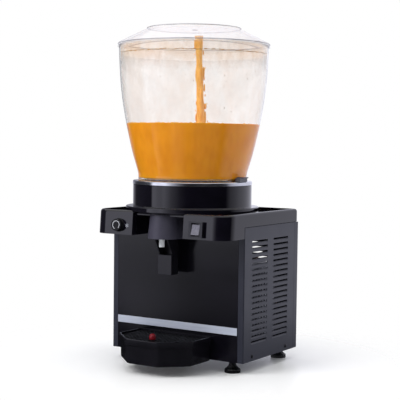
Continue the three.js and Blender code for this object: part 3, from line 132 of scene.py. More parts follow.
# Rows for surface: finish, material, two colours, roughness, grain size, relief, patch size, how far the
# patches swing the roughness, and what is special. Sizes are in millimetres.
rowKeys = ("colour", "second", "roughness", "grain", "relief", "patch", "swing")
surfaceRows = [
    # Moulded ABS with a polished skin: deep black with a faint orange peel and soft fingerprints
    ("glossAbs", "moulded_gloss_abs", "0c0a12", "12101a", 0.05, 5, 0.006, 40, 0.02, {"ior": 1.51}),
    # The tap nose is the same black ABS from a duller mould, so it takes the light softly; its colour is
    # painted lighter grey, painted light for what the pods above keep from it
    ("noseAbs", "moulded_dull_abs", "3f3d4a", "44424f", 0.42, 2, 0.02, 25, 0.05, {"ior": 1.54, "gloss": 0.3}),
    # The tray's mould is semi-gloss and worn by washing: black, with soft highlights
    ("trayAbs", "washed_semigloss_abs", "0e0d12", "131218", 0.22, 3, 0.004, 45, 0.03, {
        "ior": 1.5, "gloss": 0.35,
    }),
    # The knob is matt and the blackest thing on the pod, so that its white mark reads
    ("knobAbs", "matt_knob_abs", "08080b", "111115", 0.45, 0.7, 0.03, 12, 0.05, {"ior": 1.5, "gloss": 0.3}),
    # The grille is spark-eroded dead matt so that wet spots don't glare; its black is painted darker than the
    # other black mouldings: painted shade
    ("grilleAbs", "matt_grille_abs", "050507", "0b0b0e", 0.6, 0.9, 0.05, 15, 0.06, {
        "ior": 1.5, "gloss": 0.12,
    }),
    # Moulded ABS with a fine eroded texture: the key's bezel, the lever and the shroud look satin
    ("satinAbs", "textured_satin_abs", "100f16", "191820", 0.36, 0.7, 0.03, 18, 0.06, {"ior": 1.54}),
    # Powder-coated steel: a tight stipple that softens the light on the side sheets to slate grey
    ("coatedSteel", "powder_coated_steel", "242632", "2a2c39", 0.42, 1.1, 0.04, 60, 0.05, {"ior": 1.5}),
    # Pre-painted gloss steel of the front: smoother than the sides, with long faint rolling marks
    ("paintedFront", "gloss_painted_steel", "09080d", "100e17", 0.15, 7, 0.01, 70, 0.03, {
        "ior": 1.44, "stretch": (0.3, 1, 1),
    }),
    # Galvanised steel: the zinc's spangle, flakes of grey a few millimetres wide
    ("galvanised", "galvanised_steel", "9b9ea3", "7d8188", 0.4, 6, 0.02, 9, 0.1, {"metallic": 1.0}),
    # Drawn copper pipe: salmon with darker heat stains near the joints
    ("copper", "drawn_copper", "c07350", "8a4a30", 0.28, 1.5, 0.01, 22, 0.08, {"metallic": 1.0}),
    # Black stove enamel on the compressor and motors, a little uneven where it ran
    ("enamel", "black_stove_enamel", "141416", "1e1e21", 0.3, 9, 0.05, 30, 0.08, {"ior": 1.5}),
    # Mill-finish aluminium fins, drawn lines close together up and down the block
    ("finStock", "aluminium_fin_stock", "b9bcc0", "8e9297", 0.38, 1.8, 0.12, 14, 0.08, {
        "metallic": 1.0, "stretch": (1, 3, 0.1),
    }),
    # Moulded nitrile rubber of the feet, seal and mounts: black, with a worn shine on its ribs
    ("rubber", "moulded_rubber", "050506", "0c0c0e", 0.26, 1.2, 0.05, 10, 0.08, {"ior": 1.5}),
    # Self-skinned foam: cream, matt, with open cells
    ("foam", "polyurethane_foam", "e2dabf", "cfc39c", 0.85, 1.6, 0.35, 24, 0.05, {"ior": 1.45}),
    # Natural acetal and polypropylene inside the bowl, white with a waxy skin
    ("whiteAcetal", "natural_acetal", "e6e6e2", "d8d8d0", 0.35, 1.0, 0.02, 16, 0.06, {"ior": 1.48}),
    # Silicone tube: milky white and soft, a little grey where it is handled
    ("silicone", "milky_silicone", "eceef2", "cfd2d8", 0.42, 1.4, 0.03, 7, 0.06, {"ior": 1.41}),
    # Grey nylon of the lugs and fan, with moulding flow marks
    ("greyNylon", "grey_nylon", "55565e", "62636c", 0.35, 1.2, 0.03, 12, 0.06, {"ior": 1.53}),
    # Grey polycarbonate of the rocker key, smooth where fingers polish it
    ("greyKey", "grey_rocker_key", "5c5a66", "66646f", 0.28, 0.8, 0.02, 9, 0.05, {"ior": 1.58}),
    # Red polypropylene of the overflow float, glossy when wet; its red is painted dark, painted shade from
    # the tap and pods above it
    ("redFloat", "red_polypropylene", "7c0c1a", "5c0812", 0.3, 1.0, 0.02, 5, 0.05, {"ior": 1.49}),
    # Pad-printed white ink, a hair thick, slightly uneven in its white
    ("printInk", "pad_printed_ink", "eceef6", "cdd0da", 0.5, 0.5, 0.02, 1.5, 0.05, {"ior": 1.5}),
    # The same ink in one thin pass, so that the black plastic greys it
    ("faintInk", "thin_printed_ink", "c2c4ce", "a2a4b0", 0.5, 0.5, 0.02, 1.5, 0.05, {"ior": 1.5}),
    # Black oxide on the panel screws: a dark sheen, rubbed paler in patches
    ("blackOxide", "black_oxide_steel", "17171a", "26262a", 0.34, 0.6, 0.02, 3, 0.08, {"metallic": 0.7}),
    # Stainless steel, turned: fine rings round the rim that pull the highlights into arcs
    ("turnedSteel", "turned_stainless_steel", "d3d5da", "bfc2c9", 0.16, 6, 0.01, 26, 0.05, {
        "metallic": 1.0, "stretch": (1, 1, 14),
    }),
    # Brushed, lacquered aluminium strip: long scratches along it, cool, a little blue and never mirror bright
    ("brushedAluminium", "brushed_aluminium", "ccd1de", "b6bdcf", 0.42, 0.9, 0.04, 1.8, 0.1, {
        "metallic": 0.3, "stretch": (0.012, 1, 1),
    }),
]
finishes = {}
for finish, name, *values, others in surfaceRows:
    finishes[finish] = surface(name, {**dict(zip(rowKeys, values)), **others})


# Clear polycarbonate: walls that bend the white backdrop and haze a little where they were wiped
def clearPlastic(name, look):
    made, tree = startMaterial(name)
    place = addNode(tree, "TexCoord").outputs["Object"]
    haze = addNode(tree, "TexNoise", {"Scale": scaleOf(look["patch"]), "Detail": 5.0}, {"Vector": place})
    hazed = look["roughness"] + look["haze"]
    wiped = {"From Min": 0.4, "From Max": 0.75, "To Min": look["roughness"], "To Max": hazed}
    rough = addNode(tree, "MapRange", wiped, {"Value": haze})
    waviness = addNode(tree, "Bump", {"Strength": 0.3, "Distance": look["relief"] * mm}, {"Height": haze})
    even = {**evenValues(look), "Transmission Weight": 1.0}
    shader = addNode(tree, "BsdfPrincipled", even, {"Roughness": rough, "Normal": waviness})
    # the lamps' light passes straight through to the drink
    lit = addNode(tree, "LightPath").outputs["Is Shadow Ray"]
    through = addNode(tree, "BsdfTransparent", {"Color": hexColour(look["shade"])})
    both = addNode(tree, "MixShader", None, {0: lit, 1: shader, 2: through})
    addNode(tree, "OutputMaterial", None, {"Surface": both})
    return made


finishes["clearBowl"] = clearPlastic("clear_polycarbonate", {
    "colour": "ffffff", "shade": "f6f6f6", "roughness": 0.01, "haze": 0.03, "ior": 1.4, "patch": 30,
    "relief": 0.12, "gloss": 0.85,
})
finishes["sprayPlastic"] = clearPlastic("spray_tube_plastic", {
    "colour": "f2ead8", "shade": "f0f0f0", "roughness": 0.08, "haze": 0.1, "ior": 1.5, "patch": 8,
    "relief": 0.05,
})


# The lid's wall is thin: it hardly bends what is behind it, and only greys where it is seen along its surface
def thinPlastic(name, look):
    made, tree = startMaterial(name)
    place = addNode(tree, "TexCoord").outputs["Object"]
    washing = addNode(tree, "TexNoise", {"Scale": scaleOf(look["patch"]), "Detail": 5.0}, {"Vector": place})
    clouded = look["thin"] + look["cloud"]
    clouds = {"From Min": 0.35, "From Max": 0.7, "To Min": look["thin"], "To Max": clouded}
    cloud = addNode(tree, "MapRange", clouds, {"Value": washing})
    edge = addNode(tree, "LayerWeight", {"Blend": look["edge"]}).outputs["Facing"]
    cover = addNode(tree, "Math", {"operation": "MULTIPLY_ADD", 1: look["edgeCover"]}, {0: edge, 2: cloud})
    shader = addNode(tree, "BsdfPrincipled", evenValues(look), {"Alpha": cover})
    addNode(tree, "OutputMaterial", None, {"Surface": shader})
    return made


finishes["clearLid"] = thinPlastic("thin_clear_polycarbonate", {
    "colour": "eeeef6", "roughness": 0.1, "ior": 1.45, "patch": 22, "thin": 0.03, "cloud": 0.05, "edge": 0.1,
    "edgeCover": 0.7,
})


# Orange juice drink: cloudy with pulp, so light goes a few millimetres in and comes out deeper orange
def orangeDrink(name, look):
    made, tree = startMaterial(name)
    place = addNode(tree, "TexCoord").outputs["Object"]
    drawn = addNode(tree, "Mapping", {"Scale": look["stretch"]}, {"Vector": place})
    pulp = addNode(tree, "TexNoise", {"Scale": scaleOf(look["pulp"]), "Detail": 4.0}, {"Vector": drawn})
    share = addNode(tree, "MapRange", {"From Min": 0.38, "From Max": 0.7}, {"Value": pulp})
    colours = {"data_type": "RGBA", 6: hexColour(look["colour"]), 7: hexColour(look["second"])}
    colour = addNode(tree, "Mix", colours, {0: share}).outputs[2]
    ripple = addNode(tree, "Bump", {"Strength": 0.4, "Distance": look["relief"] * mm}, {"Height": pulp})
    even = {
        **evenValues(look), "IOR": 1.34, "Subsurface Weight": look["cloud"],
        "Subsurface Radius": (1.0, 0.45, 0.08), "Subsurface Scale": 9 * mm,
    }
    shader = addNode(tree, "BsdfPrincipled", even, {"Base Color": colour, "Normal": ripple})
    addNode(tree, "OutputMaterial", None, {"Surface": shader})
    return made


finishes["drinkPool"] = orangeDrink("cloudy_orange_drink", {
    "colour": "e79d1a", "second": "df9214", "roughness": 0.3, "cloud": 0.32, "stretch": (1, 1, 0.4),
    "pulp": 16, "relief": 0.05, "gloss": 0.12,
})
# The falling jet's colour is painted paler and yellower than the pool's: painted highlight for the shine
# along the stream
finishes["drinkJetPaintedHighlight"] = orangeDrink("falling_orange_drink_painted_paler", {
    "colour": "f2bc58", "second": "dd9a2e", "roughness": 0.12, "cloud": 0.12, "stretch": (1, 1, 0.25),
    "pulp": 5, "relief": 0.3, "gloss": 0.5,
})
finishes["drinkFoam"] = orangeDrink("orange_froth", {
    "colour": "eab24e", "second": "dc9a30", "roughness": 0.2, "cloud": 0.3, "stretch": (1, 1, 1),
    "pulp": 2, "relief": 0.1, "gloss": 0.5,
})


# Thin washes over the clear plastic, broken into runs: juice drying on the bowl's wall, and painted shade on
# the lid's edges
def juiceWashAndPaintedShade(name, look):
    made, tree = startMaterial(name)
    place = addNode(tree, "TexCoord").outputs["Object"]
    drawn = addNode(tree, "Mapping", {"Scale": (1, 1, 0.5)}, {"Vector": place})
    runs = addNode(tree, "TexNoise", {"Scale": scaleOf(look["patch"]), "Detail": 5.0}, {"Vector": drawn})
    covers = {"From Min": 0.3, "From Max": 0.7, "To Min": look["thin"], "To Max": look["thick"]}
    cover = addNode(tree, "MapRange", covers, {"Value": runs})
    if "fades" in look:
        low, high = look["fades"]
        height = addNode(tree, "SeparateXYZ", None, {0: place}).outputs[2]
        fading = addNode(tree, "MapRange", {"From Min": low * mm, "From Max": high * mm}, {"Value": height})
        cover = addNode(tree, "Math", {"operation": "MULTIPLY"}, {0: cover, 1: fading})
    shader = addNode(tree, "BsdfPrincipled", {**evenValues(look), "IOR": 1.38}, {"Alpha": cover})
    addNode(tree, "OutputMaterial", None, {"Surface": shader})
    return made


finishes["juiceFilm"] = juiceWashAndPaintedShade("drying_juice_film", {
    "colour": "ffc472", "roughness": 0.3, "patch": 14, "thin": 0.05, "thick": 0.19, "fades": (655, 680),
})
finishes["tideLine"] = juiceWashAndPaintedShade("juice_tide_line", {
    "colour": "b38430", "roughness": 0.3, "patch": 4, "thin": 0.0, "thick": 1.1,
})
# Below the tide line only splashes dry on: almost nothing, but it gathers where the wall turns away
finishes["juiceHaze"] = juiceWashAndPaintedShade("splashed_juice_haze", {
    "colour": "eec6a4", "roughness": 0.3, "patch": 26, "thin": 0.02, "thick": 0.1,
})
# Painted shade: where clear plastic is seen along a sharp moulded edge, a soft grey line painted on
finishes["lidEdgePaintedShade"] = juiceWashAndPaintedShade("clear_edge_painted_shade", {
    "colour": "85828d", "roughness": 0.2, "patch": 30, "thin": 0.25, "thick": 0.6,
})
finishes["juiceDrops"] = juiceWashAndPaintedShade("juice_droplets", {
    "colour": "c49a68", "roughness": 0.1, "patch": 2, "thin": 0.15, "thick": 0.6,
})
print("finishes mixed:", len(finishes))


# Shapes, each added to one bmesh in millimetres

# Several values of a piece's dictionary at once
def pick(values, names):
    return [values[name] for name in names.split()]


def onCircle(radius, angle, centre=(0, 0)):
    return centre[0] + radius * cos(angle), centre[1] + radius * sin(angle)


def circle(centre, radius, sides):
    return [onCircle(radius, 2 * pi * i / sides, centre) for i in range(sides)]


def atHeight(outline, z):
    return [(x, y, z) for x, y in outline]


# Rounds the corners of a profile or outline of 2-D points
def softened(points, radius, steps=4, closed=True):
    result = []
    count = len(points)
    for i, point in enumerate(points):
        here = Vector(point)
        atEnd = not closed and i in (0, count - 1)
        if atEnd or abs(here.x) < 0.001:
            result.append(tuple(here))
            continue
        toBefore = Vector(points[i - 1]) - here
        toAfter = Vector(points[(i + 1) % count]) - here
        reach = min(radius, toBefore.length * 0.45, toAfter.length * 0.45)
        start = here + toBefore.normalized() * reach
        end = here + toAfter.normalized() * reach
        for step in range(steps + 1):
            t = step / steps
            result.append(tuple(start * (1 - t) ** 2 + here * 2 * t * (1 - t) + end * t * t))
    return result


# A smooth curve through points, any number of steps between each two
def splined(points, steps):
    given = [Vector(p) for p in points]
    ends = [2 * given[0] - given[1], *given, 2 * given[-1] - given[-2]]
    result = []
    for i in range(len(given) - 1):
        a, b, c, d = ends[i:i + 4]
        for step in range(steps):
            t = step / steps
            result.append(tuple(
                b + (c - a) * (t / 2) + (2 * a - 5 * b + 4 * c - d) * (t * t / 2)
                + (3 * b - a - 3 * c + d) * (t ** 3 / 2)
            ))
    result.append(tuple(given[-1]))
    return result


# Faces between one ring of points and the next. A ring of a single point makes a fan.
def addRings(shape, rings, closeEnds=(False, False), joinLast=False):
    made = [[shape.verts.new(p) for p in ring] for ring in rings]
    pairs = list(zip(made, made[1:]))
    if joinLast:
        pairs.append((made[-1], made[0]))
    for low, high in pairs:
        count = max(len(low), len(high))
        for i in range(count):
            j = (i + 1) % count
            if len(low) == 1:
                corners = [low[0], high[j], high[i]]
            elif len(high) == 1:
                corners = [low[i], low[j], high[0]]
            else:
                corners = [low[i], low[j], high[j], high[i]]
            shape.faces.new(corners)
    if closeEnds[0]:
        shape.faces.new(list(reversed(made[0])))
    if closeEnds[1]:
        shape.faces.new(made[-1])


# A profile of (radius, z) turned about the upright axis through a point. It is closed on itself unless it
# meets the axis at both ends. The swell function may change a radius by its angle and height.
def addTurned(shape, profile, centre=(0, 0), steps=96, swell=None):
    onAxis = abs(profile[0][0]) < 0.001 and abs(profile[-1][0]) < 0.001
    rings = []
    for r, z in profile:
        if abs(r) < 0.001:
            rings.append([(centre[0], centre[1], z)])
            continue
        angles = [2 * pi * i / steps for i in range(steps)]
        rings.append([(*onCircle(swell(r, z, a) if swell else r, a, centre), z) for a in angles])
    addRings(shape, rings, joinLast=not onAxis)


def turned(profile, *others, **more):
    shape = bmesh.new()
    addTurned(shape, profile, *others, **more)
    return shape


# A round tube along points, with a radius for each
def addTube(shape, points, sizes, sides):
    path = [Vector(p) for p in points]
    rings = []
    across = None
    for i, here in enumerate(path):
        ahead = (path[min(i + 1, len(path) - 1)] - path[max(i - 1, 0)]).normalized()
        if across is None:
            across = ahead.orthogonal().normalized()
        across = (across - ahead * across.dot(ahead)).normalized()
        up = ahead.cross(across)
        rings.append([
            tuple(here + (across * cos(a) + up * sin(a)) * sizes[i])
            for a in (2 * pi * k / sides for k in range(sides))
        ])
    addRings(shape, rings, closeEnds=(True, True))


def addObject(name, data):
    made = bpy.data.objects.new(name, data)
    bpy.context.scene.collection.objects.link(made)
    return made


# A flat sheet with holes, its outline and holes given as loops of 2-D points, put in place by a matrix
def addPlate(shape, outline, holes, thick, place):
    curve = bpy.data.curves.new("outline", "CURVE")
    curve.dimensions = "2D"
    curve.fill_mode = "BOTH"
    curve.extrude = thick / 2
    for loop in [outline, *holes]:
        spline = curve.splines.new("POLY")
        spline.points.add(len(loop) - 1)
        for point, (u, v) in zip(spline.points, loop):
            point.co = (u, v, 0, 1)
        spline.use_cyclic_u = True
    holder = addObject("outline", curve)
    graph = bpy.context.evaluated_depsgraph_get()
    mesh = bpy.data.meshes.new_from_object(holder.evaluated_get(graph))
    bpy.data.objects.remove(holder)
    mesh.transform(place)
    shape.from_mesh(mesh)
    bpy.data.meshes.remove(mesh)


def addBall(shape, place, size, detail=2):
    sized = place @ Matrix.Diagonal((*size, 1.0))
    bmesh.ops.create_icosphere(shape, subdivisions=detail, radius=1.0, matrix=sized)


# Ends a drawn shape as a mesh, with its faces turned outwards unless it is part of the stage
def meshOf(name, shape, place=None, outwards=True):
    if outwards:
        bmesh.ops.recalc_face_normals(shape, faces=shape.faces)
    mesh = bpy.data.meshes.new(name)
    shape.to_mesh(mesh)
    shape.free()
    if place is not None:
        mesh.transform(place)
    return mesh


# Puts a finished piece in the scene: it rides on its body and stands for its CAD nodes
def addPiece(name, mesh, finish, body, nodes, slotName, bevel=0.0, evenLight=True, angle=38):
    mesh.shade_smooth()
    mesh.set_sharp_from_angle(angle=radians(angle))
    mesh.materials.append(finishes[finish])
    piece = addObject(name, mesh)
    if bevel:
        edge = piece.modifiers.new("edge", "BEVEL")
        edge.width = bevel * mm
        edge.segments = 2
        edge.limit_method = "ANGLE"
        edge.angle_limit = radians(angle)
    if evenLight:
        even = piece.modifiers.new("even light", "WEIGHTED_NORMAL")
        even.keep_sharp = True
    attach(piece, body)
    if nodes:
        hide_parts(*nodes)
    return piece


def madePiece(name, shape, finish, body, nodes, slotName, **others):
    return addPiece(name, meshOf(name, shape, toFrame), finish, body, nodes, slotName, **others)


# A copy of a CAD node with its flat faces made whole and its edges eased
def easedPiece(node, finish, bevel):
    source = frame["nodes"][node]
    corners = [v.co.copy() for v in source.data.vertices]
    bare = bpy.data.meshes.new(node)
    bare.from_pydata(corners, [], [list(p.vertices) for p in source.data.polygons])
    shape = bmesh.new()
    shape.from_mesh(bare)
    bpy.data.meshes.remove(bare)
    bmesh.ops.remove_doubles(shape, verts=shape.verts, dist=0.004 * mm)
    bmesh.ops.dissolve_limit(shape, angle_limit=radians(0.7), verts=shape.verts, edges=shape.edges)
    mesh = meshOf(node + "_eased", shape)
    addPiece(node + "_eased", mesh, finish, source["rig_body"], [node], slots[node], bevel=bevel)


# Cutting one piece with a plain solid, done once and kept in the mesh
def carve(piece, cutter):
    tool = addObject("tool", meshOf("tool", cutter, toFrame))
    work = piece.modifiers.new("carve", "BOOLEAN")
    work.operation = "DIFFERENCE"
    work.solver = "EXACT"
    work.object = tool
    graph = bpy.context.evaluated_depsgraph_get()
    carved = bpy.data.meshes.new_from_object(piece.evaluated_get(graph))
    piece.modifiers.clear()
    piece.data = carved
    bpy.data.objects.remove(tool)


# Case: side sheets with pressed louvres
case = {
    "halfWidth": 170.0, "front": -60.5, "back": 161.5, "bottom": 24.4, "top": 309.6, "sheet": 1.5,
    "fold": 2.4, "foldSteps": 8, "wrap": 14.0,
    "firstLouvre": 280.6, "pitch": 11.86, "rows": 19, "columns": (-28.1, 64.5), "length": 66.7,
    "slot": 3.6, "scoop": 3.4, "press": 2.6, "ends": 4.0, "lap": 0.8, "along": 18, "rise": 5,
    "screwHeights": 34.5, "screwPlaces": (-22.9, 126.3), "screwHole": 2.4,
}


def louvreHole(y, z):
    drop = case["slot"] + case["scoop"]
    box = [(y, z - drop), (y + case["length"], z - drop), (y + case["length"], z), (y, z)]
    return softened(box, 1.6, 3)


# A tongue of sheet under each slot, pushed inwards along its top edge and closed at both ends
def addScoop(shape, side, y, z):
    half, sheet, length, lap, along, rise = pick(case, "halfWidth sheet length lap along rise")
    top = z - case["slot"]
    bottom = top - case["scoop"] - lap
    rings = []
    for i in range(along + 1):
        s = i / along
        yHere = y - lap + (length + 2 * lap) * s
        closing = min(1.0, min(s, 1 - s) * length / case["ends"])
        closing = closing * closing * (3 - 2 * closing)
        column = []
        for j in range(rise + 1):
            t = j / rise
            column.append((case["press"] * closing * (1 - cos(t * pi / 2)), bottom + (top - bottom) * t))
        outer = [(side * (half - 0.02 - push), yHere, level) for push, level in column]
        inner = [(side * (half - sheet + 0.1 - push), yHere, level) for push, level in reversed(column)]
        rings.append(outer + inner)
    addRings(shape, rings, closeEnds=(True, True))


def sidePanel(name, side):
    shape = bmesh.new()
    half, sheet, fold, low, high, back = pick(case, "halfWidth sheet fold bottom top back")
    front = case["front"] + fold
    holes = []
    for y in case["columns"]:
        for row in range(case["rows"]):
            z = case["firstLouvre"] - row * case["pitch"]
            holes.append(louvreHole(y, z))
            addScoop(shape, side, y, z)
    holes += [circle((y, case["screwHeights"]), case["screwHole"], 16) for y in case["screwPlaces"]]
    turn = Matrix(((0, 0, 1, 0), (1, 0, 0, 0), (0, 1, 0, 0), (0, 0, 0, 1)))
    place = Matrix.Translation((side * (half - sheet / 2), 0, 0)) @ turn
    addPlate(shape, [(front, low), (back, low), (back, high), (front, high)], holes, sheet, place)
    # the fold round the front corner
    turns = [pi / 2 * i / case["foldSteps"] for i in range(case["foldSteps"] + 1)]
    arc = [(half - fold + fold * cos(a), front - fold * sin(a)) for a in turns]
    inFold = fold - sheet
    inArc = [(half - fold + inFold * cos(a), front - inFold * sin(a)) for a in reversed(turns)]
    lapEnd = [(half - case["wrap"], case["front"]), (half - case["wrap"], case["front"] + sheet)]
    section = [(side * x, y) for x, y in arc + lapEnd + inArc]
    addRings(shape, [atHeight(section, z) for z in (low, high)], closeEnds=(True, True))
    madePiece(name + "_pressed", shape, "coatedSteel", "case", [name], "dark_sheet")


sidePanel("side_panel_right", 1)
sidePanel("side_panel_left", -1)

# Pan-head screws with a cross recess
screw = {"radius": 4.2, "head": 1.2, "shank": 2.0, "length": 6.0, "seat": 0.3, "slot": 0.9, "deep": 0.8}


def panelScrew(name, side, y):
    radius, head, shank, length, seat = pick(screw, "radius head shank length seat")
    shape = turned(softened([
        (0, -length), (shank, -length), (shank, seat), (radius, seat), (radius * 0.97, seat + head * 0.5),
        (radius * 0.6, seat + head * 0.95), (0, seat + head),
    ], 0.35, 3, closed=False), steps=28)
    lay = Matrix.Rotation(side * pi / 2, 4, "Y")
    place = Matrix.Translation((side * case["halfWidth"], y, case["screwHeights"])) @ lay
    shape.transform(place)
    piece = madePiece(name + "_pan_head", shape, "blackOxide", "case", [name], "painted_black")
    half = screw["slot"] / 2
    arm = radius * 0.55
    cross = []
    for c, s in ((1, 0), (0, 1), (-1, 0), (0, -1)):
        cross += [(c * x - s * y, s * x + c * y) for x, y in ((arm, -half), (arm, half), (half, half))]
    cutter = bmesh.new()
    addRings(cutter, [atHeight(cross, z) for z in (screw["deep"], 3.0)], closeEnds=(True, True))
    cutter.transform(place @ Matrix.Rotation(radians(35), 4, "Z"))
    carve(piece, cutter)


for end, y in zip(("front", "back"), case["screwPlaces"]):
    panelScrew("screw_right_" + end, 1, y)
    panelScrew("screw_left_" + end, -1, y)
print("case sides done")


# Levelling feet: a bell with ribs all round to grip it by
foot = {
    "radius": 17.5, "height": 24.4, "rim": 8.0, "stem": 8.0, "stud": 4.0, "studLength": 9.0, "grips": 18,
    "depth": 0.9,
}


def footGrips(r, z, angle):
    if r < foot["stem"] + 1 or z > foot["height"] - 6 or z < 0.5:
        return r
    return r - foot["depth"] * (0.5 - 0.5 * cos(foot["grips"] * angle))


def levellingFoot(name, body):
    radius, height, rim, stem, stud, studLength = pick(foot, "radius height rim stem stud studLength")
    low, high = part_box(name)
    centre = ((low.x + high.x) / 2 / mm, (low.y + high.y) / 2 / mm - axisY)
    neck = height - rim
    bell = splined([
        (radius - 1.4, rim), (stem + 3.4, rim + neck * 0.22), (stem, rim + neck * 0.6), (stem, height - 0.3),
    ], 5)
    lower = softened([
        (0, 0.0), (radius - 0.2, 0.0), (radius - 0.2, rim * 0.8), (radius - 1.4, rim),
    ], 0.9, 3, closed=False)
    top = height + studLength
    end = [(stud, height - 0.3), (stud, top - 0.6), (stud - 0.6, top), (0, top)]
    shape = turned(lower + bell[1:] + end, centre, 120, footGrips)
    madePiece(name + "_bell", shape, "rubber", body, [name], "rubber")


for corner, code in (("front_left", "fl"), ("front_right", "fr"), ("back_left", "bl"), ("back_right", "br")):
    levellingFoot("foot_" + corner, "foot_" + code)
print("feet done")


# Glossy collar and the bright rim of the cooled cup
fine = 192  # steps round the large turned pieces
collar = {
    "radius": 130.4, "inner": 126.9, "flange": 146.0, "spigot": 141.0,
    "foot": 333.3, "flangeBottom": 336.0, "flangeTop": 347.0, "top": 394.3,
}
radius, inner, flange, spigot = pick(collar, "radius inner flange spigot")
collarFoot, flangeBottom, flangeTop, collarTop = pick(collar, "foot flangeBottom flangeTop top")
madePiece("collar_moulding", turned(softened([
    (inner, collarFoot), (spigot, collarFoot), (spigot, flangeBottom), (flange, flangeBottom),
    (flange, flangeTop), (radius, flangeTop), (radius, collarTop), (inner, collarTop),
], 2.2, 5), steps=fine), "glossAbs", "case", ["collar"], "gloss_black")

cup = {
    "rim": 131.0, "inner": 112.0, "sheet": 1.2, "rimBottom": 394.6, "rimTop": 402.5, "roll": 2.8,
    "floor": 358.0, "under": 356.8, "spout": 8.0, "spoutAhead": -94.0, "spoutLength": 12.0,
    "boreFoot": 350, "boreTop": 362,
}
rim, inner, sheet, rimTop, roll, under = pick(cup, "rim inner sheet rimTop roll under")
outer = inner + sheet
cupProfile = [
    (0, under), (outer - 4, under), (outer, under + 4), (outer, rimTop - sheet),
    (rim - sheet, rimTop - sheet), (rim - sheet, cup["rimBottom"]), (rim, cup["rimBottom"]),
]
quarter = [pi / 2 * i / 8 for i in range(9)]
rolled = [(rim - roll * (1 - cos(a)), rimTop - roll * (1 - sin(a))) for a in quarter]
cupInside = softened([
    (inner + 6, rimTop), (inner, rimTop), (inner, cup["floor"]), (0, cup["floor"]),
], 2.4, 5, closed=False)
cupShape = turned(cupProfile + rolled + cupInside, steps=fine)
cupPiece = madePiece("cup_spun_steel", cupShape, "turnedSteel", "case", ["cooling_cup"], "stainless_steel")
spout = cup["spout"]
bore = spout - sheet
spoutPlace = (0, cup["spoutAhead"])
boreFoot, boreTop = pick(cup, "boreFoot boreTop")
carve(cupPiece, turned([(0, boreFoot), (bore, boreFoot), (bore, boreTop), (0, boreTop)], spoutPlace, 32))
spoutFoot = under - cup["spoutLength"]
spoutShape = turned([
    (spout, under + 0.4), (spout, spoutFoot), (bore, spoutFoot), (bore, under + 0.4),
], spoutPlace, 32)
madePiece("cup_spout", spoutShape, "turnedSteel", "case", ["cooling_cup"], "stainless_steel")
print("collar and cup done")


# The bowl, blown in one piece, with a ledge for its seal
bowl = {
    "foot": 119.0, "rim": 163.8, "bottom": 402.8, "height": 294.2, "wall": 3.0,
    "shares": [
        (0, 0), (0.05, 0.012), (0.1, 0.1), (0.2, 0.29), (0.32, 0.475), (0.45, 0.65), (0.6, 0.813),
        (0.78, 0.935), (1, 1),
    ],
    "ledge": 8.0, "ledgeRise": 3.2, "ledgeThick": 2.4,
}
bowlFoot, bowlRim, bowlBottom, bowlHeight, bowlWall = pick(bowl, "foot rim bottom height wall")
bowlTop = bowlBottom + bowlHeight
bowlCurve = splined([
    (bowlFoot + (bowlRim - bowlFoot) * growth, bowlBottom + bowlHeight * share)
    for share, growth in bowl["shares"]
], 6)


def bowlRadiusAt(z):
    for (r0, z0), (r1, z1) in zip(bowlCurve, bowlCurve[1:]):
        if z0 <= z <= z1:
            return r0 + (r1 - r0) * (z - z0) / (z1 - z0)
    return bowlCurve[-1][0]


footInner = bowlFoot - bowlWall
ledgeInner = bowlFoot - bowlWall - bowl["ledge"]
ledgeBottom = bowlBottom + bowl["ledgeRise"]
ledgeTop = ledgeBottom + bowl["ledgeThick"]
rimTurn = [
    (bowlRim - bowlWall / 2 * (1 - cos(a)), bowlTop - 1.5 + 1.5 * sin(a))
    for a in (pi * i / 8 for i in range(9))
]
inside = [(r - bowlWall, z) for r, z in reversed(bowlCurve) if ledgeTop + 3 < z < bowlTop - 2]
ledgeShape = softened([
    (footInner, ledgeTop + 3), (footInner, ledgeTop), (ledgeInner, ledgeTop), (ledgeInner, ledgeBottom),
    (footInner, ledgeBottom), (footInner, bowlBottom), (bowlFoot - 1, bowlBottom),
], 0.8, 3, closed=False)
shape = turned(bowlCurve[:-1] + rimTurn + inside + ledgeShape, steps=fine)
madePiece("bowl_blown", shape, "clearBowl", "bowl", ["bowl"], "clear_plastic", evenLight=False)

# The lid: a skirt over the bowl's rim, a shallow cone and a raised lip round its flat top
lid = {
    "radius": 166.6, "inner": 164.1, "skirtBottom": 692.2, "seat": 697.3, "shoulder": 699.8, "wall": 2.5,
    "top": 101.8, "lipInner": 99.4, "lipTop": 735.0, "lip": 2.0, "lipOut": 1.4, "flat": 732.8,
    "darkGlintAngle": -56.5, "darkGlintRadius": 134.0, "darkGlintWidth": 13.0,
}
radius, inner, skirt, seat, shoulder = pick(lid, "radius inner skirtBottom seat shoulder")
wall, top, lipInner, lipTop, flat = pick(lid, "wall top lipInner lipTop flat")
lipFoot = lipTop - lid["lip"]
lipRadius = top + lid["lipOut"]
shape = turned(softened([
    (0, flat - wall), (lipInner, flat - wall), (inner, seat), (inner, skirt), (radius, skirt),
    (radius, shoulder), (radius - wall, shoulder + wall), (top - 0.6, lipFoot), (lipRadius, lipFoot),
    (lipRadius, lipTop), (lipInner, lipTop), (lipInner, flat), (0, flat),
], 1.0, 4, closed=False), steps=fine)
madePiece("lid_moulding", shape, "clearLid", "lid", ["lid"], "clear_plastic", evenLight=False)
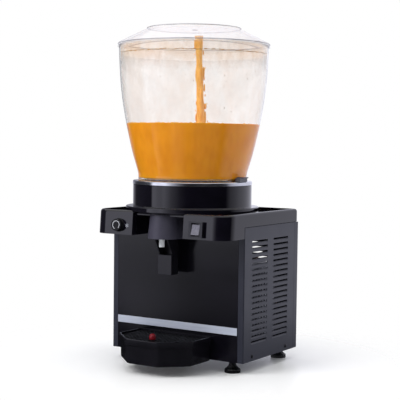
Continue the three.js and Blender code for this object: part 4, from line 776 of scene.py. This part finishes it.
# Painted shade on the clear lid: grey rings where the plastic turns sharply, at the lip and the shoulder, and
# a painted dark glint on the cone on the side turned to the camera
shape = bmesh.new()
for ringRadius, z, thick in ((top + 0.5, lipTop - 1.0, 0.9), (radius - 1.8, shoulder - 0.6, 1.3)):
    addTurned(shape, [(ringRadius + x * thick, z + y * thick) for x, y in circle((0, 0), 1, 10)], steps=fine)
turn = Matrix.Rotation(radians(lid["darkGlintAngle"]), 4, "Z")
slope = atan2(lipTop - shoulder - wall, radius - wall - top)
drop = (lid["darkGlintRadius"] - top) * tan(slope)
onCone = turn @ Matrix.Translation((lid["darkGlintRadius"], 0, lipTop - drop)) @ Matrix.Rotation(slope, 4, "Y")
addBall(shape, onCone, (1.3, lid["darkGlintWidth"] / 2, 0.7), 3)
madePiece("lid_painted_shade", shape, "lidEdgePaintedShade", "lid", ["lid"], "clear_plastic", evenLight=False)
print("bowl and lid done")


# The drink: pool, jet, froth, and what dries on the wall
drink = {
    "level": 526.0, "wet": 0.15, "air": 0.4, "jet": 8.4, "jetTop": 720.5, "behind": 27.6,
    "swell": 2.4, "swellWave": 5.5, "swellReach": 26, "swellRise": 1.6,
    "pumpRoom": 30.4, "pumpTop": 372.8, "tubeRoom": 7.4, "tubeTop": 514.4, "underFloor": 350,
}
level, air, behind = pick(drink, "level air behind")


def drinkPiece(name, shape, finish, **others):
    return madePiece(name, shape, finish, "bowl", ["drink"], "orange_drink", evenLight=False, **others)


wall = bowlWall - drink["wet"]
side = [(r - wall, z) for r, z in bowlCurve if ledgeTop + 4 < z < level]
levelRadius = bowlRadiusAt(level) - wall
surfaceShares = (0.93, 0.85, 0.76, 0.67, 0.58, 0.49, 0.4, 0.31, 0.22, 0.12)
surfaceRings = [
    (levelRadius, level + 0.8), (levelRadius - 2, level - 0.1),
    *[(levelRadius * share, level - 0.3) for share in surfaceShares],
    (0, level - 0.3),
]
inCup = cup["inner"] - air
shape = turned([
    (0, cup["floor"] + air), (cup["inner"] - 3, cup["floor"] + air), (inCup, cup["floor"] + 4),
    (inCup, cup["rimTop"] - 3), (ledgeInner - air, cup["rimTop"]), (ledgeInner - air, ledgeTop + air),
    (bowlFoot - wall, ledgeTop + air), *side, *surfaceRings,
], steps=160)
jetPlace = Vector((0, behind))
for v in shape.verts:
    if v.co.z > level - 1 and hypot(v.co.x, v.co.y) < levelRadius - 1:
        away = hypot(v.co.x - jetPlace.x, v.co.y - jetPlace.y)
        wave = drink["swell"] * cos(away / drink["swellWave"]) + drink["swellRise"]
        swell = exp(-away / drink["swellReach"]) * wave
        v.co.z += swell + 0.5 * noise.noise(Vector((v.co.x, v.co.y, 0)) / 14)
pool = drinkPiece("drink_pool", shape, "drinkPool", angle=50)
pumpRoom, pumpTop, tubeRoom, tubeTop, under = pick(drink, "pumpRoom pumpTop tubeRoom tubeTop underFloor")
carve(pool, turned([
    (0, under), (pumpRoom, under), (pumpRoom, pumpTop), (tubeRoom, pumpTop), (tubeRoom, tubeTop),
    (0, tubeTop),
], (0, behind), 40))

# The jet is a stack of uneven rings, with strands and drips breaking from its sides
jet = {
    "levels": 90, "sides": 28, "leanFoot": 2.2, "leanTop": -4.8, "lump": 0.13, "rope": 0.12,
    "shares": [
        (0, 1.7), (0.05, 1.2), (0.2, 1.02), (0.45, 0.9), (0.6, 1.05), (0.7, 0.78), (0.86, 0.92), (1, 1.15),
    ],
}
sideways = Vector((0.8396, 0.5432, 0))
jetFoot = level - 4
rise = drink["jetTop"] - jetFoot


# The jet isn't quite plumb: it leans a few millimetres to the left as it rises
def jetLean(z):
    return sideways * (jet["leanFoot"] + (jet["leanTop"] - jet["leanFoot"]) * (z - jetFoot) / rise)


# A point beside the jet, so far out from its middle
def besideJet(z, out, up=0.0):
    return sideways * out + jetLean(z) + Vector((0, behind, z + up))


rings = []
jetCurve = splined(jet["shares"], 8)
for i in range(jet["levels"] + 1):
    share = i / jet["levels"]
    width = min(jetCurve, key=lambda point: abs(point[0] - share))[1]
    z = jetFoot + rise * share
    lean = jetLean(z)
    ring = []
    for k in range(jet["sides"]):
        angle = 2 * pi * k / jet["sides"]
        lump = noise.noise(Vector((cos(angle) * 1.2, sin(angle) * 1.2, z / 16)))
        rope = noise.noise(Vector((cos(angle) * 2.5, sin(angle) * 2.5, z / 60 + 9)))
        radius = drink["jet"] * width * (1 + jet["lump"] * lump + jet["rope"] * rope)
        ring.append((*onCircle(radius, angle, (lean.x, behind + lean.y)), z))
    rings.append(ring)
shape = bmesh.new()
addRings(shape, rings, closeEnds=(True, True))
# Strands that fall beside the jet: height of the middle, half length, thickness, and how far out
strands = [
    (646, 7, 2.3, 9.6), (607, 9, 2.0, 9.8), (566, 7, 3.2, 10.6), (541, 15, 2.4, 9.9), (684, 6, 1.5, 9.2),
    (627, 4, 1.4, 9.9), (590, 3, 1.2, 11.0), (541, 9, 2.2, -10.0), (631, 12, 2.0, -7.6), (573, 5, 1.4, -8.8),
    (700, 9, 1.9, -8.8), (637, 9, 2.6, 8.6),
]
for z, half, thick, out in strands:
    shares = [i / 8 * 2 - 1 for i in range(9)]
    path = [tuple(besideJet(z, out, half * t)) for t in shares]
    addTube(shape, path, [max(0.15, thick * sqrt(max(0.0, 1 - t * t))) for t in shares], 10)
# Loose drips: height, how far out, and size
drips = [
    (680, -10.8, 1.3), (673, -12.0, 1.0), (556, -11.2, 1.2), (650, 13.2, 0.9), (572, 14.4, 1.1),
    (533, 14.5, 1.4),
]
for z, out, size in drips:
    addBall(shape, Matrix.Translation(besideJet(z, out)), (size, size, size * 1.4))
drinkPiece("drink_jet", shape, "drinkJetPaintedHighlight", angle=60)

# Froth along the pool's edge, most of it in front, and round the foot of the jet
froth = {
    "count": 210, "frontShare": 0.75, "front": (170, 330), "size": (0.7, 2.3), "roundJet": (13, 34),
    "fromWall": (0.2, 3.5), "above": 0.5, "lift": (0, 0.9),
}
rolls = random.Random(7)
shape = bmesh.new()
for i in range(froth["count"]):
    nearJet = i % 3 == 0
    angle = rolls.uniform(0, 2 * pi)
    if not nearJet and rolls.random() < froth["frontShare"]:
        angle = radians(rolls.uniform(*froth["front"]))
    size = rolls.uniform(*froth["size"])
    if nearJet:
        away = rolls.uniform(*froth["roundJet"])
    else:
        away = levelRadius - size - rolls.uniform(*froth["fromWall"])
    x, y = onCircle(away, angle, (0, behind) if nearJet else (0, 0))
    z = level + froth["above"] + rolls.uniform(*froth["lift"])
    addBall(shape, Matrix.Translation((x, y, z)), (size, size, size * 0.8))
drinkPiece("drink_froth", shape, "drinkFoam", angle=60)

# A film of juice under the lid with an uneven lower edge, its darker tide line, and a haze below it
film = {
    "top": 696.5, "edge": 676.8, "drop": 1.0, "low": 22.0, "front": -57, "line": 2.0, "thick": 0.4,
    "steps": 240, "levels": 6,
}


def filmEdge(angle):
    around = Vector((cos(angle), sin(angle), 0))
    hidden = 0.5 - 0.5 * cos(angle - radians(film["front"]))
    wander = 1.1 * noise.noise(around * 7) + 1.0 * noise.noise(around * 19) + 1.4 * noise.noise(around * 55)
    return film["edge"] - film["drop"] * hidden ** 2 + wander


# The tide line is thickest round the film's front angle, and thins out to nothing behind
def tideTop(angle):
    facing = max(0.0, cos(angle - radians(film["front"])) + 0.15)
    return filmEdge(angle) + 0.05 + film["line"] * min(1.0, facing * 2.5)


def filmFoot(angle):
    return filmEdge(angle) - film["low"] - 3 * noise.noise(Vector((angle * 5, 0, 0)))


def addFilm(shape, low, high):
    rings = []
    upwards = range(film["levels"] + 1)
    for i in range(film["steps"]):
        angle = 2 * pi * i / film["steps"]
        bottom = low(angle)
        top = high(angle)
        ring = []
        for steps, gap in ((upwards, 0.05), (reversed(upwards), film["thick"])):
            for j in steps:
                z = bottom + (top - bottom) * j / film["levels"]
                ring.append((*onCircle(bowlRadiusAt(z) - bowlWall - gap, angle), z))
        rings.append(ring)
    addRings(shape, rings, joinLast=True)


shape = bmesh.new()
addFilm(shape, lambda a: tideTop(a) + 0.05, lambda a: film["top"])
addFilm(shape, filmFoot, lambda a: filmEdge(a) - 0.1)
drinkPiece("juice_film", shape, "juiceFilm")
shape = bmesh.new()
addFilm(shape, filmEdge, tideTop)
drinkPiece("juice_tide_line", shape, "tideLine")
shape = bmesh.new()
addFilm(shape, lambda a: level + 2.5, lambda a: filmEdge(a) - 0.1)
drinkPiece("juice_haze", shape, "juiceHaze")

# Stray drops on the inside of the wall, some of them running
drops = {"count": 46, "heights": (545, 672), "size": (0.5, 1.3), "runs": (1.0, 1.2, 1.9), "thick": 0.35}
shape = bmesh.new()
for i in range(drops["count"]):
    angle = rolls.uniform(0, 2 * pi)
    z = rolls.uniform(*drops["heights"])
    size = rolls.uniform(*drops["size"])
    long = size * rolls.choice(drops["runs"])
    onWall = Matrix.Translation((*onCircle(bowlRadiusAt(z) - bowlWall - 0.25, angle), z))
    addBall(shape, onWall @ Matrix.Rotation(angle, 4, "Z"), (drops["thick"], size, long))
drinkPiece("juice_drops", shape, "juiceDrops")
print("drink done")


# Controls stand on the leaning face of the pods
fascia = {"z": 306.9, "y": -134.573, "tilt": 4.583, "across": 100.4}


# A place on the fascia where a profile drawn upright points its axis out of it
def onFascia(x, up=0.0, out=0.0):
    lean = Matrix.Rotation(-radians(fascia["tilt"]), 4, "X")
    place = Matrix.Translation((x, fascia["y"], fascia["z"])) @ lean @ Matrix.Translation((0, -out, up))
    return place @ Matrix.Rotation(pi / 2, 4, "X")


knob = {"radius": 13.8, "height": 11.5, "shaft": 3.0, "shaftEnd": -12.0, "ribs": 30, "ribDepth": 0.35}


def knobRibs(r, z, angle):
    if r < knob["radius"] * 0.9 or z < knob["height"] * 0.25 or z > knob["height"] - 1.2:
        return r
    return r - knob["ribDepth"] * (0.5 - 0.5 * cos(knob["ribs"] * angle))


radius, height, shaft, shaftEnd = pick(knob, "radius height shaft shaftEnd")
shape = turned(softened([
    (0, 0.5), (radius * 1.05, 0.5), (radius * 1.05, height * 0.16), (radius, height * 0.22),
    (radius * 0.935, height - 0.2), (radius * 0.7, height - 0.2), (radius * 0.66, height - 0.7),
    (0, height - 0.7),
], 0.7, 3, closed=False), steps=240, swell=knobRibs)
addTurned(shape, [(0, 0.6), (shaft, 0.6), (shaft, shaftEnd), (0, shaftEnd)], steps=20)
shape.transform(onFascia(-fascia["across"]))
madePiece("knob_grip", shape, "knobAbs", "knob", ["thermostat_knob"], "satin_black")

# The dial mark on the knob's face: a white arc, open at the foot
dial = {"radius": 9.2, "width": 2.2, "open": 62, "turn": 12, "thick": 0.25, "steps": 40}
start = radians(-90 + dial["open"] / 2 + dial["turn"])
sweep = radians(360 - dial["open"])
angles = [start + sweep * i / dial["steps"] for i in range(dial["steps"] + 1)]
arc = [onCircle(dial["radius"] + dial["width"] / 2, a) for a in angles]
arc += [onCircle(dial["radius"] - dial["width"] / 2, a) for a in reversed(angles)]
shape = bmesh.new()
addPlate(shape, arc, [], dial["thick"], onFascia(-fascia["across"], 0, knob["height"] - 0.75))
madePiece("knob_dial_mark", shape, "printInk", "knob", [], "white_plastic", evenLight=False)

# Snowflake printed on the pod beside the knob
flake = {"x": -79.4, "up": -0.4, "arm": 4.9, "line": 0.6, "branch": 1.2, "thick": 0.24}
onPod = onFascia(flake["x"], flake["up"], 0.1)


def addStroke(shape, a, b, width):
    along = b - a
    across = Vector((-along.y, along.x)).normalized() * width / 2
    loop = [tuple(p) for p in (a - across, b - across, b + across, a + across)]
    addPlate(shape, loop, [], flake["thick"], onPod)


shape = bmesh.new()
for i in range(6):
    turn = 30 + 60 * i
    tip = Vector(onCircle(1, radians(turn)))
    addStroke(shape, Vector((0, 0)), tip * flake["arm"], flake["line"])
    root = tip * flake["arm"] * 0.55
    for lean in (-55, 55):
        aside = Vector(onCircle(1, radians(turn + lean)))
        addStroke(shape, root, root + aside * flake["branch"], flake["line"] * 0.8)
madePiece("snowflake_print", shape, "faintInk", "case", [], "white_plastic", evenLight=False)
print("controls done")


# Red float standing in the grille
floatPiece = {"ahead": -148.0, "stem": 3.0, "head": 7.2, "foot": 24.8, "headFoot": 70.8, "top": 82.8}
stem, head, foot0, headFoot, top = pick(floatPiece, "stem head foot headFoot top")
floatPlace = (0, floatPiece["ahead"])
dome = splined([
    (head, headFoot + 1), (head * 0.99, top - 6.5), (head * 0.8, top - 2), (head * 0.42, top - 0.2), (0, top),
], 5)
shape = turned([(0, foot0), (stem, foot0), (stem, headFoot), (head - 1, headFoot)] + dome, floatPlace, 48)
madePiece("float_moulding", shape, "redFloat", "float", ["float_indicator"], "red_plastic")

# Drip tray: half of an octagon, its rim a band that stands proud of the body, with a pocket for the grille
tray = {
    "half": 94.0, "reach": -190.0, "corner": -139.0, "facet": 40.5, "back": -61.3, "round": 4.5,
    "bottom": 21.5, "rim": 74.5, "body": 3.0, "bandFoot": 61.5, "lip": 3.0, "pocket": 68.1, "ledge": 9.5,
    "floor": 24.5, "hookAcross": 60, "hookHalf": 7, "hookFoot": 63.5, "hookTop": 71.5, "hookEnd": -51.5,
    "guide": 6.6, "bore": 3.5, "guideTop": 34.0,
}


def trayOutline(inset, behind=0.0):
    half = tray["half"] - inset
    front = tray["reach"] + inset
    lean = tan(pi / 8) * inset
    facet = tray["facet"] - lean
    corner = tray["corner"] + lean
    back = tray["back"] - behind
    return [(-half, back), (-half, corner), (-facet, front), (facet, front), (half, corner), (half, back)]


# Rings of the tray from its underside, up and over the rim, and down to the floor of the well
b, foot0, band, rim, lip, well = pick(tray, "body bottom bandFoot rim lip ledge")
pocket, floor = pick(tray, "pocket floor")
trayRings = [
    (foot0, b + 4.5, 0), (foot0 + 0.8, b + 2.4, 0), (foot0 + 3, b + 0.8, 0), (foot0 + 7, b, 0),
    (band - 2.2, b, 0), (band - 1.0, b - 0.6, 0), (band, 0.6, 0), (band + 1.2, 0, 0),
    (rim - 1.4, 0, 0), (rim - 0.4, 0.4, 0.4), (rim, 1.3, 1.3), (rim, lip - 0.7, lip - 0.7),
    (rim - 0.5, lip, lip), (pocket, lip + 0.2, lip + 0.2), (pocket, well, well - 3),
    (floor + 8, well, well - 3), (floor + 2, well + 1.5, well - 1.5), (floor, well + 4, well + 1),
]
shape = bmesh.new()
addRings(shape, [
    atHeight(softened(trayOutline(inset, behind), tray["round"], 4), z) for z, inset, behind in trayRings
], closeEnds=(True, True))
hookHalf, hookFoot, hookTop, hookEnd = pick(tray, "hookHalf hookFoot hookTop hookEnd")
for side in (-1, 1):
    rings = []
    for y, ease in ((tray["back"] - 1.5, 0), (hookEnd - 1, 0), (hookEnd, 1)):
        left = side * tray["hookAcross"] - (hookHalf - ease)
        right = side * tray["hookAcross"] + (hookHalf - ease)
        low = hookFoot + ease
        high = hookTop - ease
        corners = softened([(left, low), (right, low), (right, high), (left, high)], 1.2, 3)
        rings.append([(u, y, v) for u, v in corners])
    addRings(shape, rings, closeEnds=(True, True))
guide, bore, guideTop = pick(tray, "guide bore guideTop")
addTurned(shape, softened([
    (bore, floor - 0.3), (guide, floor - 0.3), (guide, guideTop), (bore, guideTop),
], 0.5, 2), floatPlace, 32)
trayBody = frame["nodes"]["drip_tray"]["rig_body"]
madePiece("tray_moulding", shape, "trayAbs", trayBody, ["drip_tray"], slots["drip_tray"])

# Grille: a plate with round holes in rows that drops into the tray's pocket
grille = {
    "top": 70.5, "thick": 2.1, "hole": 2.8, "pitch": 11.0, "margin": 12.0, "floatHole": 4.2, "slack": 0.8,
}
thick, hole, pitch, margin = pick(grille, "thick hole pitch margin")
holes = [circle(floatPlace, grille["floatHole"], 24)]
slope = (tray["half"] - tray["facet"]) / (tray["corner"] - tray["reach"])
y = case["front"] - margin
while y > tray["reach"] + margin * 1.5:
    half = tray["half"] - margin - max(0.0, tray["corner"] - y) * slope
    count = int(half // pitch)
    for i in range(-count, count + 1):
        x = i * pitch
        if hypot(x, y - floatPlace[1]) >= floatPiece["head"] + hole:
            holes.append(circle((x, y), hole, 20))
    y -= pitch
inset = tray["lip"] + grille["slack"]
shape = bmesh.new()
inPocket = Matrix.Translation((0, 0, grille["top"] - thick / 2))
addPlate(shape, softened(trayOutline(inset, inset), 3.5, 4), holes, thick, inPocket)
madePiece("grille_punched", shape, "grilleAbs", "grille", ["drip_grille"], "satin_black")
print("tray parts done")


# Everything whose CAD shape is right gets eased edges and its own finish: node, finish, bevel
easedNodes = [
    ("base_pan", "galvanised", 0.3), ("front_panel", "paintedFront", 0.4), ("back_panel", "coatedSteel", 0.4),
    ("trim_strip", "brushedAluminium", 0.35), ("inner_frame", "galvanised", 0.3),
    ("top_cover", "glossAbs", 0.7),
    ("tap_nose", "noseAbs", 0.7), ("evaporator_coil", "copper", 0.0), ("insulation", "foam", 0.4),
    ("bowl_seal", "rubber", 0.6), ("bowl_lug_right", "greyNylon", 0.9), ("bowl_lug_left", "greyNylon", 0.9),
    ("pump_motor", "enamel", 0.8), ("drive_magnet", "galvanised", 0.6), ("impeller", "whiteAcetal", 0.3),
    ("pump_housing", "whiteAcetal", 0.5), ("spray_tube", "sprayPlastic", 0.3),
    ("pinch_tube", "silicone", 0.4),
    ("tap_lever", "satinAbs", 0.6), ("lever_pin", "turnedSteel", 0.4), ("tap_bracket", "galvanised", 0.3),
    ("lever_spring", "turnedSteel", 0.0), ("thermostat", "galvanised", 0.5),
    ("switch_housing", "satinAbs", 0.8), ("rocker_key", "greyKey", 0.7), ("compressor", "enamel", 1.2),
    *[("compressor_mount_" + number, "rubber", 0.8) for number in "1234"],
    ("condenser", "finStock", 0.3), ("fan_shroud", "satinAbs", 0.6), ("fan_motor", "enamel", 0.8),
    ("fan_blades", "greyNylon", 0.4), ("filter_drier", "copper", 0.5), ("discharge_line", "copper", 0.0),
    ("liquid_line", "copper", 0.0), ("capillary_line", "copper", 0.0), ("control_box", "whiteAcetal", 1.0),
    ("power_inlet", "satinAbs", 0.5),
]
for node, finish, bevel in easedNodes:
    easedPiece(node, finish, bevel)
print("eased pieces:", len(easedNodes))


# The stage is drawn in metres round the frame's own middle. Each piece is hidden from some kinds of ray.
def stagePiece(name, rings, material, hiddenFrom, solidMiddle=False):
    shape = bmesh.new()
    addRings(shape, [atHeight(circle((0, 0), radius, 96), z) for radius, z in rings], (solidMiddle, False))
    mesh = meshOf(name, shape, outwards=False)
    mesh.materials.append(material)
    piece = addObject(name, mesh)
    for ray in hiddenFrom:
        setattr(piece, "visible_" + ray, False)


# Floor: a white table top that fades into the backdrop, bright to the camera as under studio light
table = {"radius": 0.62, "fade": 0.17, "roughness": 0.3, "glow": 0.03}
laminate, tree = startMaterial("laminate_table")
seen = addNode(tree, "LightPath").outputs["Is Camera Ray"]
glow = addNode(tree, "Math", {"operation": "MULTIPLY", 1: table["glow"]}, {0: seen})
white = {
    "Base Color": hexColour("ffffff"), "Roughness": table["roughness"], "IOR": 1.35,
    "Emission Color": (1, 1, 1, 1),
}
shader = addNode(tree, "BsdfPrincipled", white, {"Emission Strength": glow})
place = addNode(tree, "TexCoord").outputs["Object"]
away = addNode(tree, "VectorMath", {"operation": "LENGTH"}, {0: place}).outputs["Value"]
fade = {"interpolation_type": "SMOOTHSTEP", "From Min": table["fade"], "From Max": table["radius"] * 0.97}
fading = addNode(tree, "MapRange", fade, {"Value": away})
both = addNode(tree, "MixShader", None, {0: fading, 1: shader, 2: addNode(tree, "BsdfTransparent")})
addNode(tree, "OutputMaterial", None, {"Surface": both})
tableRings = [(r, 0) for r in (0.05, 0.2, 0.4, table["radius"])]
stagePiece("table_top", tableRings, laminate, ["glossy"], True)

# Cards round and under the table, seen only in reflections, as a photographer shades glossy black plastic.
# Brightness by azimuth in degrees from -180: low on the wall, high on the wall, and on the floor.
cards = {
    "radius": 3.2, "bottom": -1.0, "top": 2.6, "turn": (0.3, 0.52), "peak": 1.6,
    "low": [
        (-180, 0.05), (-141, 0.05), (-138, 1.45), (-131, 1.45), (-126, 1.25), (-118, 1.2), (-112, 1.4),
        (-97, 0.62), (-81, 0.16), (-69, 0.02), (9, 0.02), (20, 0.5), (43, 0.88), (79, 0.88), (122, 1.0),
        (134, 0.6), (155, 0.3), (166, 0.05), (180, 0.05),
    ],
    "high": [
        (-180, 0.05), (-144, 0.1), (-136, 1.55), (-112, 1.5), (-97, 0.5), (-84, 0.05), (-69, 0.02), (9, 0.02),
        (20, 0.5), (43, 0.88), (79, 0.88), (122, 1.0), (130, 0.3), (180, 0.05),
    ],
    "floor": [
        (-180, 0.03), (-135, 0.15), (-131, 0.8), (-126, 0.65), (-120, 0.3), (-114, 0.22), (-101, 0.22),
        (-90, 0.6), (-76, 0.4), (-66, 0.1), (-50, 0.3), (-14, 0.3), (-4, 0.02), (10, 0.85), (72, 1.1),
        (90, 1.0), (120, 1.0), (127, 0.1), (180, 0.03),
    ],
    "under": -0.004, "near": 0.45, "far": 0.9, "nearShare": 0.25,
}


# The colours of one band of card, laid along a colour ramp
def cardRamp(tree, azimuth, stops):
    ramp = addNode(tree, "ValToRGB", None, {0: azimuth})
    elements = ramp.color_ramp.elements
    while len(elements) < len(stops):
        elements.new(1.0)
    for element, (angle, bright) in zip(elements, stops):
        element.position = (angle + 180) / 360
    for element, (angle, bright) in zip(elements, stops):
        share = bright / cards["peak"]
        element.color = (share * 0.93, share * 0.93, share * 1.07, 1)
    return ramp


# Paper that turns from a first band of brightness to a second, up the wall or outwards on the floor
def cardMaterial(name, first, second, upwards, start, end):
    made, tree = startMaterial(name)
    place = addNode(tree, "TexCoord").outputs["Object"]
    x, y, z = addNode(tree, "SeparateXYZ", None, {0: place}).outputs
    angle = addNode(tree, "Math", {"operation": "ARCTAN2"}, {0: y, 1: x})
    azimuth = addNode(tree, "MapRange", {"From Min": -pi, "From Max": pi}, {"Value": angle})
    away = addNode(tree, "VectorMath", {"operation": "LENGTH"}, {0: place}).outputs["Value"]
    turn = {"interpolation_type": "SMOOTHSTEP", "From Min": start, "From Max": end}
    share = addNode(tree, "MapRange", turn, {"Value": z if upwards else away})
    ramp = cardRamp(tree, azimuth, second)
    if first:
        begins = cardRamp(tree, azimuth, first)
    else:
        begins = addNode(tree, "VectorMath", {"operation": "SCALE", "Scale": cards["nearShare"]}, {0: ramp})
    colour = addNode(tree, "Mix", {"data_type": "RGBA"}, {0: share, 6: begins, 7: ramp}).outputs[2]
    glow = addNode(tree, "Emission", {"Strength": cards["peak"]}, {"Color": colour})
    addNode(tree, "OutputMaterial", None, {"Surface": glow})
    return made


wallPaper = cardMaterial("wall_card_paper", cards["low"], cards["high"], True, *cards["turn"])
floorPaper = cardMaterial("floor_card_paper", None, cards["floor"], False, cards["near"], cards["far"])
wallRings = [(cards["radius"], cards["bottom"]), (cards["radius"], cards["top"])]
floorRings = [(r, cards["under"]) for r in (0.02, 1.0, cards["radius"])]
cardHidden = ["camera", "diffuse", "transmission", "shadow"]
stagePiece("wall_card", wallRings, wallPaper, cardHidden)
stagePiece("floor_card", floorRings, floorPaper, cardHidden)

# World: white behind everything, softer as light on the object
world = bpy.data.worlds.new("studio")
bpy.context.scene.world = world
world.use_nodes = True
tree = world.node_tree
tree.nodes.clear()
rays = addNode(tree, "LightPath").outputs
direct = addNode(tree, "Math", {"operation": "MAXIMUM"}, {0: rays["Is Camera Ray"], 1: rays["Is Glossy Ray"]})
seen = addNode(tree, "Math", {"operation": "MAXIMUM"}, {0: direct, 1: rays["Is Transmission Ray"]})
ambient = addNode(tree, "Background", {"Color": (0.96, 0.98, 1.0, 1), "Strength": 0.5})
white = addNode(tree, "Background", {"Color": (1, 1, 1, 1), "Strength": 1.0})
mixed = addNode(tree, "MixShader", None, {0: seen, 1: ambient, 2: white})
addNode(tree, "OutputWorld", None, {"Surface": mixed})

# Lamps: name, azimuth, elevation, distance and width in metres, power in watts
lamps = [
    ("key_softbox", -118, 38, 2.6, 1.4, 45),
    ("overhead_softbox", -90, 84, 2.3, 1.6, 26),
    ("back_fill", 60, 30, 3.0, 1.6, 16),
]
target = Vector((0, 0, 0.36))
for name, azimuth, elevation, distance, width, power in lamps:
    light = bpy.data.lights.new(name, "AREA")
    light.shape = "RECTANGLE"
    light.size = width
    light.size_y = width
    light.energy = power
    lamp = addObject(name, light)
    a = radians(azimuth)
    e = radians(elevation)
    lamp.location = target + Vector((cos(a) * cos(e), sin(a) * cos(e), sin(e))) * distance
    lamp.rotation_euler = (lamp.location - target).to_track_quat("Z", "Y").to_euler()
    lamp.visible_glossy = False
    lamp.visible_transmission = False

# Camera: front right, a little above the middle, on a long lens
view = {
    "azimuth": 32.91, "distance": 2.4316, "height": 0.4951, "down": 3.203, "roll": 0.0113, "lens": 99.45,
    "shift": 0.0193,
}
heading = radians(view["azimuth"])
drop = radians(view["down"])
roll = view["roll"]
right = Vector((cos(heading), sin(heading), 0))
ahead = Vector((-sin(heading), cos(heading), 0)) * cos(drop) + Vector((0, 0, -sin(drop)))
upward = right.cross(ahead)
rolledRight = right * cos(roll) + upward * sin(roll)
rolledUp = upward * cos(roll) - right * sin(roll)
camera = addObject("photo_camera", bpy.data.cameras.new("photo_camera"))
camera.data.lens = view["lens"]
camera.data.sensor_width = 36
camera.data.shift_x = view["shift"]
spot = Vector((sin(heading), -cos(heading), 0)) * view["distance"] + Vector((0, axisY * mm, view["height"]))
turnTo = Matrix((rolledRight, rolledUp, -ahead)).transposed().to_4x4()
camera.matrix_world = Matrix.Translation(spot) @ turnTo
bpy.context.scene.camera = camera
bpy.context.scene.view_settings.view_transform = "Standard"
print("stage done")
